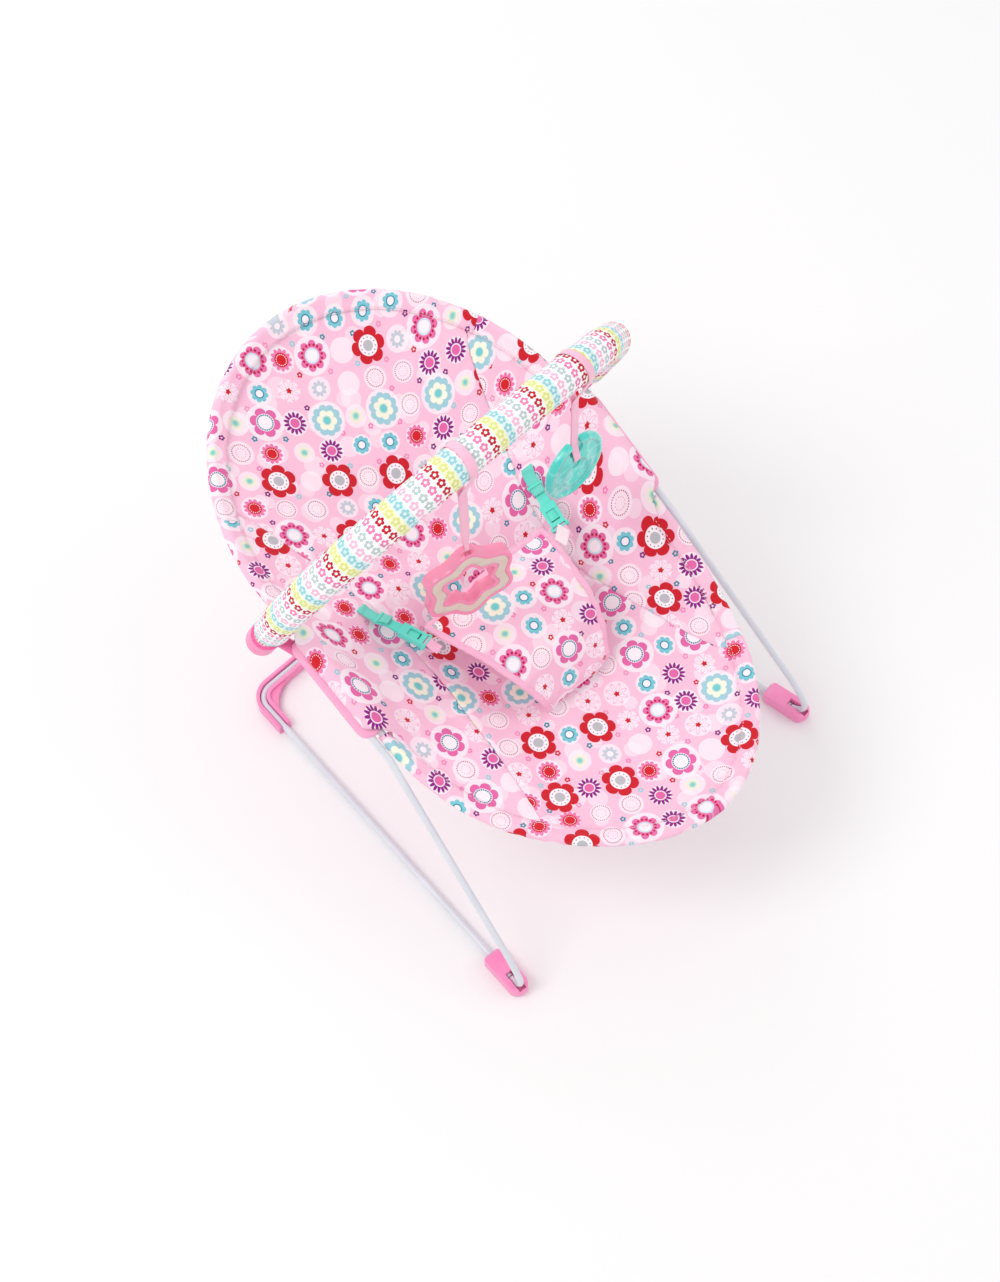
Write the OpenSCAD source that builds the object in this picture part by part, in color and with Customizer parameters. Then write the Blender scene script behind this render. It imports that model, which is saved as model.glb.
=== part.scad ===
// Baby bouncer seat on a bent wire frame, with a printed fabric sling, a crotch panel
// and a removable arched toy bar.  Millimetres.  +Z is up, the foot end points to -Y,
// X is across.  The origin is on the floor under the middle of the seat.

/* [Floor frame] */
// Diameter of the frame wire
wire_d = 7; // [6:0.5:8]
// Distance between the wires at the front bends
front_gap = 431; // [420:1:440]
// Distance between the side rails at the rear corners
rear_gap = 342; // [330:1:350]
// How far the front bends lie ahead of the middle
front_reach = 237.5; // [230:0.5:240]
// How far the rear wire lies behind the middle
rear_reach = 202; // [195:1:210]
// Radius of the front bends
bend_r = 16; // [14:1:18]

/* [Seat rim] */
// Half the distance between the seat frame wires
rim_w = 187.5; // [180:0.5:190]
// Half the length of the seat frame
rim_len = 297.5; // [290:0.5:300]
// Height of the foot end of the rim
foot_h = 184; // [175:1:190]
// Slope of the rim where the side housings hold it
side_slope = 0.66; // [0.55:0.01:0.7]
// How deep the sling hangs below the rim at the hips
sling_drop = 84; // [60:1:90]
// Thickness of the padded fabric
cloth_t = 4; // [3:0.5:5]

/* [Toy bar] */
// Half the width of the arch
arch_w = 211; // [205:1:212]
// Height of the arch along its own leaning plane
arch_h = 232; // [200:1:240]
// Lean of the arch towards the foot end, in degrees
arch_lean = 27; // [22:1:30]
// Diameter of the padded sleeve
sleeve_d = 34; // [28:1:38]
// Diameter of the plastic core tube
core_d = 20; // [16:1:22]

/* [Toys] */
// Mean radius of the flower rattle
rattle_r = 34; // [30:1:36]
// Place of the rattle along X
rattle_x = -50; // [-60:1:-40]
// Place of the teether along X
teether_x = 97; // [90:1:105]

/* [Hidden] */
$fn = 48;

wire_r = wire_d / 2;
wire_z = 7;
pink = "#f47db4";
pale_pink = "#f8c4dc";
white_wire = "#eef0f2";
teal = "#5fdcc8";

// ---- small helpers ----
function unit(v) = v / norm(v);
function lerp(a, b, t) = a + (b - a) * t;
function swap_x(p) = [-p[0], p[1], p[2]];
function reversed(list) = [for (i = [len(list) - 1:-1:0]) list[i]];

// Catmull-Rom value at x through knots [x, y] sorted by x
function knot(k, i) = k[min(max(i, 0), len(k) - 1)];
function knot_index(k, x, i = 0) = (i >= len(k) - 2 || x < k[i + 1][0]) ? i : knot_index(k, x, i + 1);
function curve_at(k, x) =
    let (i = knot_index(k, x))
    let (a = knot(k, i), b = knot(k, i + 1), p = knot(k, i - 1), q = knot(k, i + 2))
    let (t = (x - a[0]) / (b[0] - a[0]), w = b[0] - a[0])
    let (ma = (b[1] - p[1]) / max(b[0] - p[0], 1), mb = (q[1] - a[1]) / max(q[0] - a[0], 1))
    let (u = t * t, c = t * t * t)
    (2 * c - 3 * u + 1) * a[1] + (c - 2 * u + t) * w * ma
        + (3 * u - 2 * c) * b[1] + (c - u) * w * mb;

// Tube along a path: rings of points with one fixed direction that the path never follows
function tangent(p, i) = unit(p[min(i + 1, len(p) - 1)] - p[max(i - 1, 0)]);
function ring_at(p, i, r, ref, sides) =
    let (t = tangent(p, i), s = unit(cross(ref, t)), n = cross(t, s), q = is_list(r) ? r[i] : r)
    [for (k = [0:sides - 1]) p[i] + q * (cos(360 * k / sides) * s + sin(360 * k / sides) * n)];
function wall_faces(rings, sides, base, flip) = [
    for (i = [0:rings - 2], k = [0:sides - 1])
        let (a = base + i * sides + k, b = base + i * sides + (k + 1) % sides)
        flip ? [a, a + sides, b + sides, b] : [a, b, b + sides, a + sides]
];

module tube(path, r, ref = [0, 0, 1], sides = 10) {
    n = len(path);
    points = [for (i = [0:n - 1]) each ring_at(path, i, r, ref, sides)];
    caps = [reversed([for (k = [0:sides - 1]) k]), [for (k = [0:sides - 1]) (n - 1) * sides + k]];
    polyhedron(points, concat(wall_faces(n, sides, 0, false), caps));
}

module pipe(path, r_out, r_in, ref = [0, 0, 1], sides = 10) {
    n = len(path);
    count = n * sides;
    outer = [for (i = [0:n - 1]) each ring_at(path, i, r_out, ref, sides)];
    inner = [for (i = [0:n - 1]) each ring_at(path, i, r_in, ref, sides)];
    last = (n - 1) * sides;
    ends = [for (k = [0:sides - 1]) let (m = (k + 1) % sides) each [
        [k, count + k, count + m, m],
        [last + k, last + m, count + last + m, count + last + k]
    ]];
    polyhedron(
        concat(outer, inner),
        concat(wall_faces(n, sides, 0, false), wall_faces(n, sides, count, true), ends)
    );
}

// Closed sheet between two grids of points of the same size
function moved(grid, step) = [for (row = grid) [for (p = row) p + step]];
module skin(top, bottom) {
    rows = len(top);
    cols = len(top[0]);
    count = rows * cols;
    faces = [for (i = [0:rows - 2], j = [0:cols - 2])
        let (a = i * cols + j, b = a + 1, c = a + cols + 1, d = a + cols) each [
            [a, d, b], [b, d, c],
            [count + a, count + b, count + d], [count + b, count + c, count + d]
        ]];
    rim = concat(
        [for (j = [0:cols - 1]) j],
        [for (i = [1:rows - 1]) i * cols + cols - 1],
        [for (j = [cols - 2:-1:0]) (rows - 1) * cols + j],
        [for (i = [rows - 2:-1:1]) i * cols]
    );
    edge = [for (i = [0:len(rim) - 1]) let (a = rim[i], b = rim[(i + 1) % len(rim)]) each [
        [a, b, count + a], [b, count + b, count + a]
    ]];
    polyhedron(
        concat([for (row = top, p = row) p], [for (row = bottom, p = row) p]),
        concat(faces, edge)
    );
}
module sheet(grid, thick) {
    skin(moved(grid, [0, 0, thick / 2]), moved(grid, [0, 0, -thick / 2]));
}

module both_sides(left) {
    if (left) mirror([1, 0, 0]) children();
    else children();
}

// ---- seat rim: one closed line, described by half-width and height along Y ----
foot_y = -42.5;
head_y = 97.5;
foot_power = 1.85;
rise_y = -187.5;
line_y = -32.5;
line_end = 59.5;
upper_y = 79.5;
rise_k = side_slope / (line_y - rise_y);
line_h = foot_h + rise_k * pow(line_y - rise_y, 2) / 2;
line_end_h = line_h + side_slope * (line_end - line_y);
upper_slope = 0.3;
upper_h = line_end_h + (side_slope + upper_slope) / 2 * (upper_y - line_end);

function rim_z(y) =
    y < rise_y ? foot_h :
    y < line_y ? foot_h + rise_k * pow(y - rise_y, 2) / 2 :
    y < line_end ? line_h + side_slope * (y - line_y) :
    y < upper_y ? line_end_h + side_slope * (y - line_end)
        - (side_slope - upper_slope) / (upper_y - line_end) * pow(y - line_end, 2) / 2 :
    upper_h + upper_slope * (y - upper_y) + 0.00034 * pow(y - upper_y, 2);

function rim_x(y) =
    y < foot_y ? rim_w * pow(max(0, 1 - pow((foot_y - y) / (rim_len + foot_y), foot_power)), 1 / foot_power) :
    y > head_y ? rim_w * sqrt(max(0, 1 - pow((y - head_y) / (rim_len - head_y), 2))) :
    rim_w;

function rim_point(x, y) = [x, y, rim_z(y)];
function head_arc(step) = [for (a = [0:step:180])
    rim_point(rim_w * cos(a), head_y + (rim_len - head_y) * sin(a))];
function foot_arc(step) = [for (a = [0:step:180])
    rim_point(rim_w * sign(cos(a)) * pow(abs(cos(a)), 2 / foot_power),
        foot_y - (rim_len + foot_y) * pow(sin(a), 2 / foot_power))];
function head_side(start) = [for (y = [start, line_end, 66, 73, upper_y]) if (y >= start) rim_point(rim_w, y)];
function mirrored(points) = reversed([for (p = points) swap_x(p)]);

joint_y = 13;
head_path = concat(head_side(joint_y + 2), head_arc(6), mirrored(head_side(joint_y + 2)));
foot_path = concat([rim_point(rim_w, joint_y - 2), rim_point(rim_w, line_y)], foot_arc(6),
    [rim_point(-rim_w, line_y), rim_point(-rim_w, joint_y - 2)]);

// ---- sling: height of the middle line, and the rise towards the rim ----
sling_y = [-298, -250, -187, -110, -60, -12, 28, 78, 138, 198, 248, 298];
sling_sag = [0, 0.10, 0.15, 0.24, 0.55, 0.88, 1, 0.94, 0.68, 0.42, 0.22, 0];
sag_knots = [for (i = [0:len(sling_y) - 1]) [sling_y[i], sling_drop * sling_sag[i]]];
sling_power = 1.7;
hem_r = 6;
hem_gap = 1.6;
function sling_z(x, y) =
    let (w = max(rim_x(y), 1), s = min(abs(x) / w, 1))
    rim_z(y) - curve_at(sag_knots, y) * (1 - pow(s, sling_power));

// Share of the half-width where the side wings are sewn to the middle panel
wing_start = -190;
wing_end = 190;
function seam_share(y) =
    (y <= wing_start || y >= wing_end) ? 1 :
    1 - 0.47 * pow(sin(180 * (y - wing_start) / (wing_end - wing_start)), 0.6);
seam_gap = 0.4;
// Half-width of the cloth inside the hem, kept clear of the side housings
function rim_lean(y) = sqrt(1 + pow((rim_x(y + 1) - rim_x(y - 1)) / 2, 2));
function edge_x(y) =
    let (inside_hem = max(rim_x(y) - (hem_r + hem_gap) * rim_lean(y), 0))
    abs(y - housing_y) < housing_len / 2 ? min(inside_hem, housing_mid[0] - housing_a - 1) : inside_hem;

// ---- floor frame ----
hub_y = -front_reach + bend_r;
rail_front = [front_gap / 2, hub_y, wire_z];
rail_rear = [rear_gap / 2, rear_reach, wire_z];
rail_angle = atan2(rail_front[0] - rail_rear[0], rail_rear[1] - rail_front[1]);
corner_r = 20;
corner_len = corner_r * tan((90 - rail_angle) / 2);
play = 0.3;

// Points round the rear bend, seen from the corner where the wires would cross
bend_steps = 10;
function bend_point(r, i) =
    let (a = lerp(rail_angle, 90, i / bend_steps)) [r * cos(a) - corner_len, r * sin(a) - corner_r];
rear_bend = [for (i = [0:bend_steps])
    rail_rear + [bend_point(corner_r, i)[0], bend_point(corner_r, i)[1], 0]];
base_path = concat([rail_front], rear_bend, reversed([for (p = rear_bend) swap_x(p)]), [swap_x(rail_front)]);
module base_wire() {
    color(white_wire) tube(base_path, wire_r, [0, 0, 1], 16);
}

// Slot for the arm: part of a ring in the YZ plane round [0, 0], under and ahead of the centre
module hook_slot(r_bend, r_slot, from, to) {
    rotate([0, -90, 0])
        rotate([0, 0, 180 + from])
            rotate_extrude(angle = to - from)
                translate([r_bend, 0]) circle(r = r_slot);
}

// Rounded block with a blunt nose; the wire lies in a bore and comes out of a slot on top
foot_nose = -22;
foot_rear = 31;
foot_w = 20;
foot_top = 15;
module front_foot(left) {
    color(pink)
        both_sides(left)
            translate([rail_front[0], rail_front[1], 0])
                rotate([0, 0, rail_angle])
                    difference() {
                        intersection() {
                            linear_extrude(foot_top + 1) front_foot_plan();
                            rotate([90, 0, 90])
                                translate([0, 0, -foot_w / 2 - 1])
                                    linear_extrude(foot_w + 2) front_foot_side();
                        }
                        translate([0, -3, wire_z])
                            rotate([-90, 0, 0]) cylinder(r = wire_r + 0.05, h = 60);
                        translate([0, 0, wire_z + bend_r]) hook_slot(bend_r, wire_r + 0.6, -12, 100);
                        translate([-wire_r - 0.7, foot_nose + 1.8, wire_z])
                            cube([wire_d + 1.4, 23, 20]);
                    }
}
module front_foot_plan() {
    half = foot_w / 2;
    polygon([
        [-half, foot_rear - 3], [-half + 3, foot_rear], [half - 3, foot_rear], [half, foot_rear - 3],
        [half, foot_nose + 9], [half - 1.5, foot_nose + 5], [half - 4, foot_nose + 2], [half - 7, foot_nose],
        [-half + 7, foot_nose], [-half + 4, foot_nose + 2], [-half + 1.5, foot_nose + 5], [-half, foot_nose + 9]
    ]);
}
module front_foot_side() {
    polygon([
        [foot_nose + 6, 0], [foot_rear - 2, 0], [foot_rear, 2], [foot_rear, foot_top - 4],
        [foot_rear - 3, foot_top - 1], [foot_rear - 6, foot_top], [foot_nose + 14, foot_top],
        [foot_nose + 4, foot_top - 2], [foot_nose, foot_top - 5], [foot_nose, 5]
    ]);
}

// L-shaped corner foot: two legs with an open channel for the wire, and a web between them
leg_w = 15;
bar_leg = 66;
rail_leg = 50;
rear_top = 12;
web_top = 9;
web_r = 34;
web_low = 1;
channel_z = wire_z - wire_r - 0.1;
// Outline of the two legs: half is half their width, extra lengthens both
function leg_outline(half, extra) =
    let (along = [sin(rail_angle), -cos(rail_angle)], side = [cos(rail_angle), sin(rail_angle)])
    let (tip = (rail_leg + extra) * along)
    concat(
        [[-bar_leg - extra, -half], [-bar_leg - extra, half]],
        [for (i = [bend_steps:-1:0]) bend_point(corner_r + half, i)],
        [tip + half * side, tip - half * side],
        [for (i = [0:bend_steps]) bend_point(corner_r - half, i)]
    );
// Web between the legs: a hollow quarter of a circle that touches both of them
web_steps = 16;
function web_outline() =
    let (hub = -leg_w / 2 - web_r, start = rail_angle / 2)
    concat(
        [[hub, hub + web_r + 3], [-2, -2], [hub + web_r + 3 - hub * sin(rail_angle), hub]],
        [for (i = [0:web_steps])
            let (a = lerp(0, 90, i / web_steps)) [hub, hub] + web_r * [cos(a), sin(a)]
                - [hub * sin(rail_angle) * cos(a) * cos(a), 0]]
    );
module rear_foot(left) {
    color(pink)
        both_sides(left)
            translate([rail_rear[0], rail_rear[1], 0])
                difference() {
                    union() {
                        linear_extrude(rear_top) polygon(leg_outline(leg_w / 2, 0));
                        translate([0, 0, web_low]) linear_extrude(web_top - web_low) polygon(web_outline());
                    }
                    translate([0, 0, channel_z])
                        linear_extrude(rear_top) polygon(leg_outline(wire_r + play, 5));
                }
}

// ---- side arms: one planar bend each, from the front foot up to the side housing ----
cut_deg = 6;
hook_deg = 118;
arm_slope = 45;
soft_r = 120;
housing_deg = atan(side_slope);
line_z0 = line_h - side_slope * line_y;
hook_end = [-bend_r * sin(hook_deg), bend_r - bend_r * cos(hook_deg)];
soft_hub = hook_end + soft_r * [sin(hook_deg), cos(hook_deg)];
soft_end = soft_hub + soft_r * [-sin(arm_slope), cos(arm_slope)];
// Length along the arm's own plane, and height, at which it meets the line of the housing
meet_s = (line_z0 + side_slope * hub_y - wire_z - soft_end[1] + soft_end[0] * tan(arm_slope))
    / (tan(arm_slope) - side_slope * cos(rail_angle));
meet_h = soft_end[1] + (meet_s - soft_end[0]) * tan(arm_slope);
arm_top = [rail_front[0] - meet_s * sin(rail_angle), hub_y + meet_s * cos(rail_angle), wire_z + meet_h];
arm_grip = 62;
function arm_point(s, h) = [rail_front[0] - s * sin(rail_angle), hub_y + s * cos(rail_angle), wire_z + h];
function on_arc(hub, r, a) = hub + r * [-sin(a), -cos(a)];
arm_plan = concat(
    [for (a = [cut_deg:8:hook_deg]) on_arc([0, bend_r], bend_r, a)],
    [for (a = [hook_deg + 5:4:180 - arm_slope]) on_arc(soft_hub, soft_r, a)],
    [soft_end, [meet_s, meet_h]]
);
arm_path = concat([for (p = arm_plan) arm_point(p[0], p[1])],
    [arm_top + arm_grip * [0, cos(housing_deg), sin(housing_deg)]]);

module arm_wire(left) {
    color(white_wire) both_sides(left) tube(arm_path, wire_r, [1, 0, 0], 12);
}

module upper_frame() {
    color(white_wire) tube(head_path, wire_r);
}
module lower_frame() {
    color(white_wire) tube(foot_path, wire_r);
}

// ---- side housings: two shells clamped round the ends of the frame wires ----
housing_len = 118;
housing_y = 18;
housing_mid = [(rim_w + arm_top[0]) / 2, housing_y, rim_z(housing_y)];
housing_a = 13.5;
housing_b = 10.5;
screw_y = [-36, 36];
screw_x = -10;
module in_housing(left) {
    both_sides(left)
        translate(housing_mid)
            rotate([housing_deg, 0, 0]) children();
}
module housing_solid() {
    hull() {
        for (y = [-1, 1])
            translate([0, y * (housing_len / 2 - 12), 0])
                scale([housing_a / 12, 1, housing_b / 12]) sphere(r = 12, $fn = 32);
    }
}
module housing_bores() {
    for (x = [rim_w, arm_top[0]])
        translate([x - housing_mid[0], -housing_len / 2 - 1, 0])
            rotate([-90, 0, 0]) cylinder(r = wire_r + 0.05, h = housing_len + 2);
    for (y = screw_y)
        translate([screw_x, y, -20]) cylinder(r = 1.3, h = 40, $fn = 24);
}
module retainer_outer(left) {
    color(pink)
        in_housing(left)
            difference() {
                union() {
                    intersection() {
                        housing_solid();
                        translate([-30, -90, -30.1]) cube([60, 180, 30]);
                    }
                    for (i = [0:7])
                        translate([9.2, -46 + i * 3.4, -5.6])
                            rotate([0, 38, 0]) cube([3, 1.5, 9], center = true);
                }
                housing_bores();
            }
}
module retainer_inner(left) {
    color(pale_pink)
        in_housing(left)
            difference() {
                intersection() {
                    housing_solid();
                    translate([-30, -90, 0.1]) cube([60, 180, 6.4]);
                }
                housing_bores();
            }
}
module retainer_screws() {
    color("silver")
        for (left = [false, true], y = screw_y)
            in_housing(left)
                translate([screw_x, y, -4]) cylinder(r = 1.25, h = 9, $fn = 24);
}

// ---- toy bar: an arch in a plane that leans towards the foot end ----
arch_y = 89.5;
arch_z = 300;
arch_n = 2.6;
arch_normal = [0, cos(arch_lean), sin(arch_lean)];
function arch_point(x, v) = [x, arch_y - v * sin(arch_lean), arch_z + v * cos(arch_lean)];
function arch_x(v) = arch_w * pow(1 - pow(v / arch_h, arch_n), 1 / arch_n);
function arch_v(x) = arch_h * pow(1 - pow(abs(x) / arch_w, arch_n), 1 / arch_n);
function arch_leg(list) = [for (v = list) arch_point(arch_x(v), v)];
function arch_top(step) = [for (a = [30:step:150])
    arch_point(arch_w * sign(cos(a)) * pow(abs(cos(a)), 2 / arch_n), arch_h * pow(sin(a), 2 / arch_n))];
function arch_path(list) = concat(arch_leg(list), arch_top(6), mirrored(arch_leg(list)));
leg_steps = [40, 60, 80, 100, 118];

module at_leg(left) {
    both_sides(left)
        translate([arch_w, arch_y, arch_z]) rotate([arch_lean, 0, 0]) children();
}
plug_r = 12;
cup_deep = 19;
module bar_socket(left) {
    color(pink)
        difference() {
            union() {
                at_leg(left) translate([0, 0, -cup_deep - 3]) cylinder(r = plug_r + 3, h = cup_deep + 6);
                both_sides(left)
                    hull() {
                        translate([arch_w - 8, arch_y + 4, arch_z - 13]) sphere(r = 6.5, $fn = 32);
                        translate([housing_mid[0] + 4, 57, rim_z(57) - 8]) sphere(r = 6.5, $fn = 32);
                    }
            }
            at_leg(left) translate([0, 0, -cup_deep]) cylinder(r = plug_r, h = cup_deep + 20);
        }
}
module bar_plug(left) {
    color(pale_pink)
        at_leg(left) {
            translate([0, 0, 0.5 - cup_deep]) cylinder(r = plug_r - 0.08, h = cup_deep + 3.3);
            translate([0, 0, 3]) cylinder(r = core_d / 2 - 2.6, h = 18);
        }
}
module bar_tube() {
    color("white") pipe(arch_path(concat([4, 14, 24], leg_steps)), core_d / 2, core_d / 2 - 2, arch_normal);
}
sleeve_r = sleeve_d / 2;
module bar_sleeve() {
    path = arch_path(concat([7, 16, 27], leg_steps));
    ends = [12.6, 13, sleeve_r - 0.6];
    radii = concat(ends, [for (i = [1:len(path) - 6]) sleeve_r], reversed(ends));
    color("mistyrose") pipe(path, radii, core_d / 2 + 0.2, arch_normal, 12);
}

// ---- cloth: hems round the wires, sewn panels of the sling ----
module hem_head() {
    path = concat([for (y = [70, 75, upper_y, 88]) rim_point(rim_w, y)], head_arc(6),
        [for (y = [88, upper_y, 75, 70]) rim_point(-rim_w, y)]);
    color(pale_pink) pipe(path, hem_r, wire_r + 0.3, [0, 0, 1], 8);
}
module hem_foot() {
    path = concat([rim_point(rim_w, line_y - 2)], foot_arc(6), [rim_point(-rim_w, line_y - 2)]);
    color(pale_pink) pipe(path, hem_r, wire_r + 0.3, [0, 0, 1], 8);
}

panel_end = rim_len - hem_r - hem_gap;
panel_rows = 26;
panel_cols = 12;
row_y = [for (i = [0:panel_rows]) -panel_end * cos(180 * i / panel_rows)];
function panel_point(y, x) = [x, y, sling_z(x, y)];
module seat_panel() {
    grid = [for (y = row_y)
        let (w = max(edge_x(y) * seam_share(y) - seam_gap, seam_gap))
        [for (j = [0:panel_cols]) panel_point(y, w * (2 * j / panel_cols - 1))]];
    color(pale_pink) sheet(grid, cloth_t);
}
wing_cols = 5;
module seat_wing(left) {
    grid = [for (y = row_y)
        if (y > wing_start && y < wing_end)
        let (low = edge_x(y) * seam_share(y) + seam_gap)
        [for (j = [0:wing_cols]) panel_point(y, lerp(low, edge_x(y), j / wing_cols))]];
    color(pale_pink) both_sides(left) sheet(grid, cloth_t);
}

// Side flap: cloth drawn from the wing over the top of the side housing, turned down at its outer edge
flap_t = 3;
flap_y = [-29, -22, -10, 5, 20, 35, 50, 60, 65];
flap_x = [169, 172, 175, 178, 181, 188, 195, 201];
flap_rest = 3.9;
flap_rise = 10.8;
flap_turn = 1.5;
function flap_z(x, y) =
    let (share = min((x - flap_x[0]) / (flap_x[3] - flap_x[0]), 1))
    lerp(sling_z(flap_x[0], y) + flap_rest, rim_z(y) + flap_rise, share) - (x > flap_x[6] ? flap_turn : 0);
module side_flap(left) {
    grid = [for (y = flap_y) [for (x = flap_x) [x, y, flap_z(x, y)]]];
    color(pale_pink) both_sides(left) sheet(grid, flap_t);
}

// Crotch panel: rises steeply from its seam on the seat, then runs level over the lap
lap_y = [-109, -107, -101, -90, -74, -52, -24, 18];
lap_z = [184, 196, 211, 227, 240, 248, 252, 251];
lap_w = [42, 44, 48, 54, 60, 66, 73, 82];
lap_cols = 8;
lap_crown = 9;
function lap_point(i, u) = [u * lap_w[i], lap_y[i], lap_z[i] - lap_crown * u * u * min(i / 4, 1)];
function lap_normal(i) =
    let (a = max(i - 1, 0), b = min(i + 1, len(lap_y) - 1))
    unit([0, lap_z[a] - lap_z[b], lap_y[b] - lap_y[a]]);
module crotch_panel() {
    half = cloth_t / 2;
    function side(k) = [for (i = [0:len(lap_y) - 1])
        [for (j = [0:lap_cols]) lap_point(i, 2 * j / lap_cols - 1) + k * half * lap_normal(i)]];
    color(pale_pink) skin(side(1), side(-1));
}
// Blank tag sewn into the right edge of the crotch panel, turned up away from the buckle
label_at = [82, -10, 256];
label_size = [20, 14, 0.8];
module care_label() {
    color("white") translate(label_at) rotate([0, -62, 8]) cube(label_size, center = true);
}

// ---- waist straps and buckles: x is along the buckle, away from the crotch panel ----
buckle_at = [93, 4, 246];
buckle_turn = [8, 0, -17];
buckle_roll = -20;
module at_buckle(left) {
    both_sides(left)
        translate(buckle_at) rotate(buckle_turn) rotate([0, buckle_roll, 0]) children();
}
female_len = 27;
male_end = 52;
strap_w = 13;
module buckle_female(left) {
    color(teal)
        at_buckle(left)
            difference() {
                linear_extrude(6, center = true)
                    polygon([[-8, 2], [-10, 0], [-9, -3], [9, -3], [10, 0], [8, 2], [8.6, female_len], [-8.6, female_len]]);
                translate([-6.6, 3, -1.6]) cube([13.2, female_len, 3.2]);
                translate([-5, 6, 0]) cube([10, 13, 10]);
                translate([-strap_w / 2 - 0.3, -1, -5]) cube([strap_w + 0.6, 2, 10]);
            }
}
module buckle_male(left) {
    color(teal)
        at_buckle(left)
            difference() {
                linear_extrude(2.8, center = true)
                    polygon([
                        [-6, 8], [6, 8], [6.2, female_len], [5.2, 38], [6, 43], [9, male_end],
                        [-9, male_end], [-6, 43], [-5.2, 38], [-6.2, female_len]
                    ]);
                translate([-strap_w / 2 - 0.3, male_end - 5, -5]) cube([strap_w + 0.6, 2.6, 10]);
            }
}
module waist_strap(left) {
    color("white")
        at_buckle(left)
            translate([-strap_w / 2, male_end - 4.4, -5]) cube([strap_w, 1.4, 8]);
}

// ---- toys: each hangs from a ribbon loop round the sleeve ----
loop_r = sleeve_r + 1.1;
ribbon_w = 9;
ribbon_t = 0.9;
function bar_centre(x) = arch_point(x, arch_v(x));
function bar_slope(x) = atan2(arch_v(x + 1) - arch_v(x - 1), 2);
module at_bar(x) {
    translate(bar_centre(x)) children();
}
module bar_loop(x) {
    at_bar(x)
        rotate([arch_lean, 0, 0])
            rotate([0, -bar_slope(x), 0])
                rotate([0, 90, 0])
                    rotate_extrude($fn = 64)
                        translate([loop_r, -ribbon_w / 2]) square([ribbon_t, ribbon_w]);
}
// Small turn of ribbon that passes through a hole; children would be threaded on it
module ribbon_turn(r, width) {
    rotate([90, 0, 0])
        rotate_extrude()
            translate([r - ribbon_t / 2, -width / 2]) square([ribbon_t, width]);
}
// Two straps that run straight down from under the loop, cut at the bar's slope there
module ribbon_drop(x, low) {
    half = ribbon_w / 2;
    top = (loop_r + ribbon_t / 2) / cos(bar_slope(x));
    rise = half * tan(bar_slope(x));
    for (y = [-0.1, ribbon_t + 0.1])
        at_bar(x) translate([0, y, 0]) rotate([90, 0, 0])
            linear_extrude(ribbon_t)
                polygon([[-half, -low], [half, -low], [half, rise - top], [-half, -rise - top]]);
}

rattle_drop = 180;
rattle_yaw = -19;
lobe = 4;
case_half = 10;
groove_half = 5.5;
case_t = 13;
function flower(grow) = [for (a = [0:5:355]) (rattle_r + grow + lobe * cos(6 * a)) * [cos(a), sin(a)]];
module flower_ring(low, high, t) {
    linear_extrude(t)
        difference() {
            polygon(flower(high));
            polygon(flower(low));
        }
}
module at_rattle() {
    at_bar(rattle_x)
        translate([0, 0, -rattle_drop])
            rotate([0, 0, rattle_yaw]) rotate([90, 0, 0]) rotate([0, 0, 30]) children();
}
// Place of the eye's hole, and the turn of ribbon round the wall above it
eye_r = rattle_r + case_half + 4;
eye_grip = 4.1;
eye_turn = 3.6;
module rattle_case() {
    color(pink)
        at_rattle()
            difference() {
                union() {
                    translate([0, 0, -case_t / 2]) flower_ring(-case_half, case_half, case_t);
                    rotate([0, 0, 60]) translate([eye_r - 2, 0, -2.5]) cylinder(r = 7, h = 5);
                }
                translate([0, 0, 4 - case_t / 2]) flower_ring(-groove_half, groove_half, case_t);
                rotate([0, 0, 60]) translate([eye_r, 0, -5]) cylinder(r = 3.2, h = 10);
            }
}
module rattle_window() {
    color([1, 0.95, 0.75, 0.5])
        at_rattle() translate([0, 0, case_t / 2 - 2.2]) flower_ring(-groove_half + 0.1, groove_half - 0.1, 2.2);
}
bead_r = 2.9;
bead_turns = [3, 14, 64, 118, 171, 232, 243, 300];
module rattle_beads() {
    color("crimson")
        at_rattle()
            for (a = bead_turns)
                translate([(rattle_r + lobe * cos(6 * a)) * cos(a), (rattle_r + lobe * cos(6 * a)) * sin(a), 4.1 - case_t / 2 + bead_r])
                    sphere(r = bead_r, $fn = 24);
}
module rattle_ribbon() {
    color(pale_pink) {
        bar_loop(rattle_x);
        ribbon_drop(rattle_x, rattle_drop - eye_r - eye_grip - eye_turn);
        at_rattle() rotate([0, 0, 60]) translate([eye_r + eye_grip, 0, 0]) ribbon_turn(eye_turn, 4);
    }
}

teether_drop = 141;
disc_r = 33;
rim_tube = 4.5;
disc_t = 6;
notch_y = 25;
// Bridge between the notch and the hole, and the turn of ribbon round it
bridge_y = 13.2;
bridge_turn = 5.8;
module at_teether() {
    at_bar(teether_x) translate([0, 0, -teether_drop]) rotate([90, 0, 0]) children();
}
module teether_ring() {
    color(teal)
        at_teether()
            difference() {
                union() {
                    cylinder(r = disc_r, h = disc_t, center = true, $fn = 72);
                    rotate_extrude($fn = 72) translate([disc_r, 0]) circle(r = rim_tube, $fn = 32);
                    translate([0, -5, 0]) rotate_extrude($fn = 64) translate([16, 0]) circle(r = rim_tube - 0.5, $fn = 32);
                }
                translate([0, notch_y, -10]) cylinder(r = 9, h = 20);
                translate([-6, notch_y, -10]) cube([12, 30, 20]);
                translate([0, 5, -10]) cylinder(r = 5.5, h = 20);
            }
}
module teether_ribbon() {
    color(pale_pink) {
        bar_loop(teether_x);
        ribbon_drop(teether_x, teether_drop - bridge_y - bridge_turn);
        at_teether() translate([0, bridge_y, 0]) rotate([0, 0, 90]) ribbon_turn(bridge_turn, 8);
    }
}

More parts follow.
